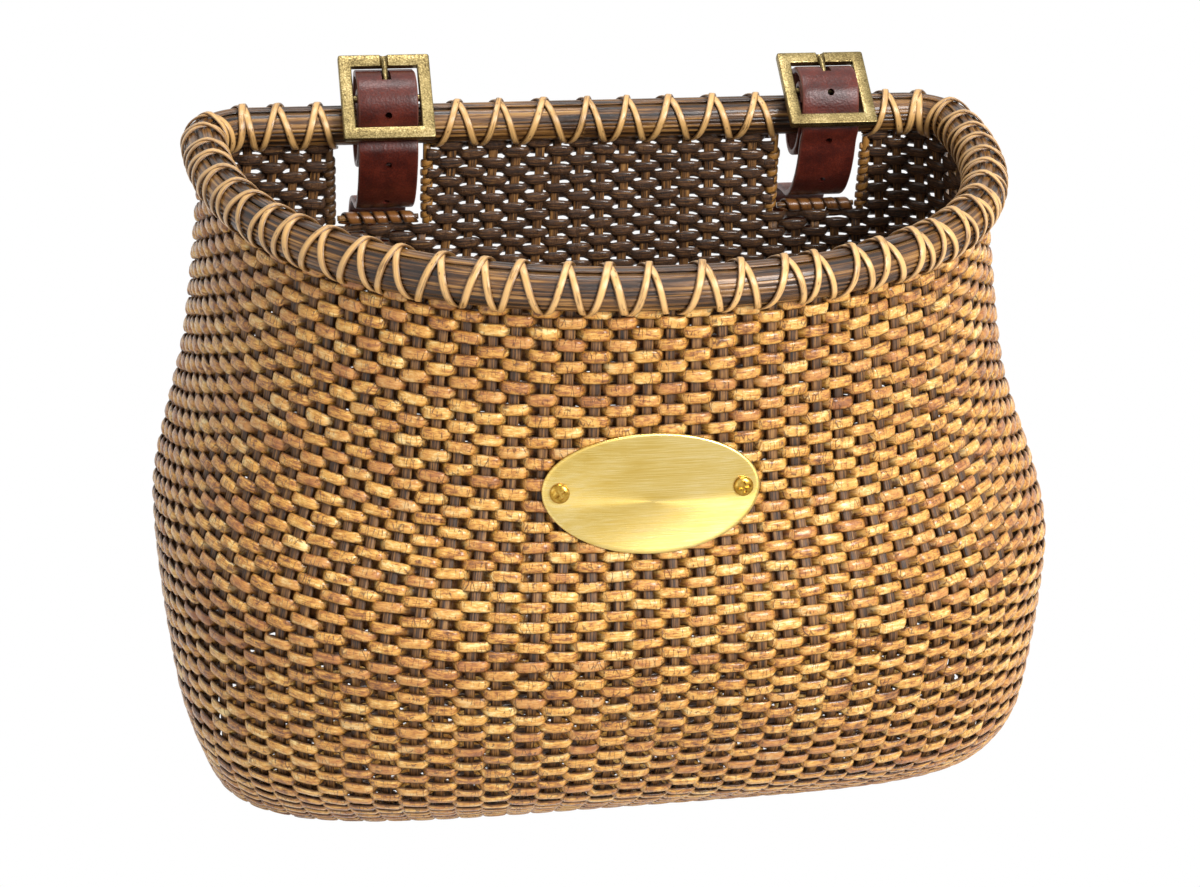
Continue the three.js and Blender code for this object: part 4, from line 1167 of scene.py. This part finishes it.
def make_prong(side):
    hanger, x = HANGERS[side], STRAP_X[side]
    centre = on_buckle(hanger, 0, BUCKLE_OUT)
    place = Matrix.Translation((x, RIM_Y + centre[0], RIM_HEIGHT + centre[1])) @ Matrix.Rotation(hanger["lean"], 4, "X")
    reach = (BUCKLE_SIZE + BUCKLE_WINDOW) / 4 + 0.4
    along = np.concatenate([np.linspace(0, reach - 1.1, 22), reach - 1.1 + 1.1 * np.sin(np.linspace(0.25, 1.5, 7))])
    radius = 1.3 - 0.2 * along / reach
    tip = np.clip((along - (reach - 1.1)) / 1.1, 0, 1)
    radius = radius * np.sqrt(np.clip(1 - tip**2, 0.01, 1))
    points = np.stack([np.zeros(len(along)), along, np.full(len(along), PRONG_OUT)], 1)
    rings = sweep(points, np.broadcast_to([0.0, 0.0, 1.0], points.shape), 2 * radius, 2 * radius, section(16, 2.0))
    verts = np.array([place @ Vector(v) for v in rings.reshape(-1, 3)])
    obj = new_mesh(f"{side}_brass_prong", verts, tube_faces(len(rings), 16, False), f"{side}_prong",
                   (f"{side}_buckle_prong",), "brass", brass_look)
    across = place @ Matrix.Translation((0, 0, -BAR_DROP)) @ Matrix.Rotation(math.pi / 2, 4, "Y")
    eye = prism(circle(EYE_RADIUS, 32), 4.0, across)
    bore = prism(circle(BAR_RADIUS + GAP, 24), 6.0, across)
    carve(obj, [bore], [eye], 35)


# Plate and screws
PLATE = dict(width=80.0, height=42.0, thick=1.0, z=157.5, x=-7.2)
SCREWS = 67.0


def face_at(x, z):
    """Depth of the wall's front face at a place, in the row's frame."""
    s = section_at(z)
    side = s["back"] - s["corner"]
    share = min(abs(x) / (s["half"] + WALL / 2), 1)
    return PLAN_Y + side - (s["front"] + side + WALL / 2) * (1 - share ** s["square"]) ** (1 / s["square"])


def make_plate():
    """The oval plate, softened at its edge, on the wall's curve."""
    sides, verts, faces = 96, [], []
    profile = [(0.0, 1.0)] + [(r, 1.0) for r in np.linspace(0.08, 0.93, 12)]
    profile += [(0.965, 1.0), (0.985, 0.93), (0.996, 0.72), (1.0, 0.45), (0.998, 0.1), (0.99, 0.0), (0.0, 0.0)]
    a = np.arange(sides) / sides * TAU
    for r, lift in profile:
        r = max(r, 1e-3)
        for c, s in zip(np.cos(a), np.sin(a)):
            x = PLATE["x"] + r * PLATE["width"] / 2 * c
            z = PLATE["z"] + r * PLATE["height"] / 2 * s
            verts.append((x, face_at(x, z) - 0.35 - PLATE["thick"] * lift, z))
    verts = np.array(verts)
    faces = tube_faces(len(profile), sides, False)
    obj = new_mesh("oval_plate", verts, faces, "basket", ("front_plate",), "plate", plate_look)
    cutters = []
    for point, turn in screw_places():
        cutters.append(prism(circle(1.8, 24), 12, Matrix.Translation(point) @ turn @ Matrix.Rotation(math.pi / 2, 4, "X")))
    carve(obj, cutters, angle=50)


def screw_places():
    for sign in (-1, 1):
        x, z = PLATE["x"] + sign * SCREWS / 2, PLATE["z"]
        y = face_at(x, z)
        outward = Vector((face_at(x + 0.3, z) - y, -0.3, face_at(x, z + 0.3) - y)).normalized()
        yield Vector((x, y, z)), Vector((0, -1, 0)).rotation_difference(outward).to_matrix().to_4x4()


def make_screws():
    """Round heads with a cross recess. The shank goes through plate and wall to its nut."""
    for side, (point, turn) in zip(("left", "right"), screw_places()):
        profile = [(0.05, -9.7), (1.5, -9.6), (1.5, 1.6), (3.45, 1.62), (3.6, 1.8), (3.6, 2.15)]
        profile += [(3.6 * math.cos(t), 2.15 + 1.25 * math.sin(t)) for t in np.linspace(0.15, 1.45, 9)] + [(0.05, 3.4)]
        sides = 40
        a = np.arange(sides) / sides * TAU
        rings = [[(r * c, -h, r * s) for c, s in zip(np.cos(a), np.sin(a))] for r, h in profile]
        place = Matrix.Translation(point) @ turn
        verts = np.array([place @ Vector(v) for ring in rings for v in ring])
        faces = tube_faces(len(profile), sides, False)
        obj = new_mesh(f"{side}_round_screw", verts, faces, "basket", (f"plate_screw_{side}",), "plate", screw_look)
        cutters = []
        spin = 0.6 if side == "left" else 0.15
        for angle in (spin, spin + math.pi / 2):
            across = place @ Matrix.Translation((0, -3.5, 0)) @ Matrix.Rotation(math.pi / 2, 4, "X")
            cutters.append(prism(rectangle(4.4, 1.1), 2.7, across @ Matrix.Rotation(angle, 4, "Z")))
        carve(obj, cutters, angle=35)


make_bottom()
make_rim()
make_lacing()
make_slot_edges()
for strap_side in ("left", "right"):
    make_strap(strap_side)
    make_buckle(strap_side)
    make_prong(strap_side)
    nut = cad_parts[f"plate_nut_{strap_side}"]
    nut.data.materials.clear()
    nut.data.materials.append(screw_look)
make_plate()
make_screws()


# Room: a pale floor and soft lamps
def make_room():
    bpy.ops.mesh.primitive_plane_add(size=6, location=(0, 0, 0))
    floor = bpy.context.object
    floor.name = "floor"
    m = Nodes("floor_white")
    tree = m.tree
    path = tree.nodes.new("ShaderNodeLightPath")
    shown = m.math("MAXIMUM", path.outputs["Is Camera Ray"], path.outputs["Is Glossy Ray"])
    shown = m.math("MAXIMUM", shown, path.outputs["Is Transmission Ray"])
    glow = tree.nodes.new("ShaderNodeEmission")
    glow.inputs["Color"].default_value = (1, 1, 1, 1)
    mixer = tree.nodes.new("ShaderNodeMixShader")
    m.link(shown, mixer.inputs[0])
    tree.links.new(m.bsdf.outputs[0], mixer.inputs[1])
    tree.links.new(glow.outputs[0], mixer.inputs[2])
    tree.links.new(mixer.outputs[0], tree.nodes["Material Output"].inputs["Surface"])
    m.set(Base_Color=(0.8, 0.8, 0.8, 1), Roughness=0.9)
    floor.data.materials.append(m.material)

    world = bpy.data.worlds.new("studio")
    bpy.context.scene.world = world
    world.use_nodes = True
    nodes, links = world.node_tree.nodes, world.node_tree.links
    backdrop = nodes["Background"]
    path = nodes.new("ShaderNodeLightPath")
    power = nodes.new("ShaderNodeMapRange")
    power.inputs["To Min"].default_value = 0.36
    power.inputs["To Max"].default_value = 1.0
    seen = path.outputs["Is Camera Ray"]
    for ray in ("Is Glossy Ray", "Is Transmission Ray"):
        either = nodes.new("ShaderNodeMath")
        either.operation = "MAXIMUM"
        links.new(seen, either.inputs[0])
        links.new(path.outputs[ray], either.inputs[1])
        seen = either.outputs[0]
    links.new(seen, power.inputs["Value"])
    backdrop.inputs["Color"].default_value = (1, 1, 1, 1)
    links.new(power.outputs[0], backdrop.inputs["Strength"])

    lamps = [
        ("key", (0.72, -1.15, 1.0), 0.6, 30),
        ("fill", (-1.0, -1.0, 0.35), 1.2, 2.5),
        ("top", (0.05, 0.0, 1.7), 0.5, 13),
    ]
    for name, place, size, power in lamps:
        data = bpy.data.lights.new(name, "AREA")
        data.size = size
        data.energy = power
        lamp = bpy.data.objects.new(name, data)
        lamp.location = place
        lamp.rotation_euler = (Vector((0, 0, 0.12)) - Vector(place)).to_track_quat("-Z", "Y").to_euler()
        bpy.context.scene.collection.objects.link(lamp)


make_room()
bpy.context.scene.view_settings.view_transform = "Standard"
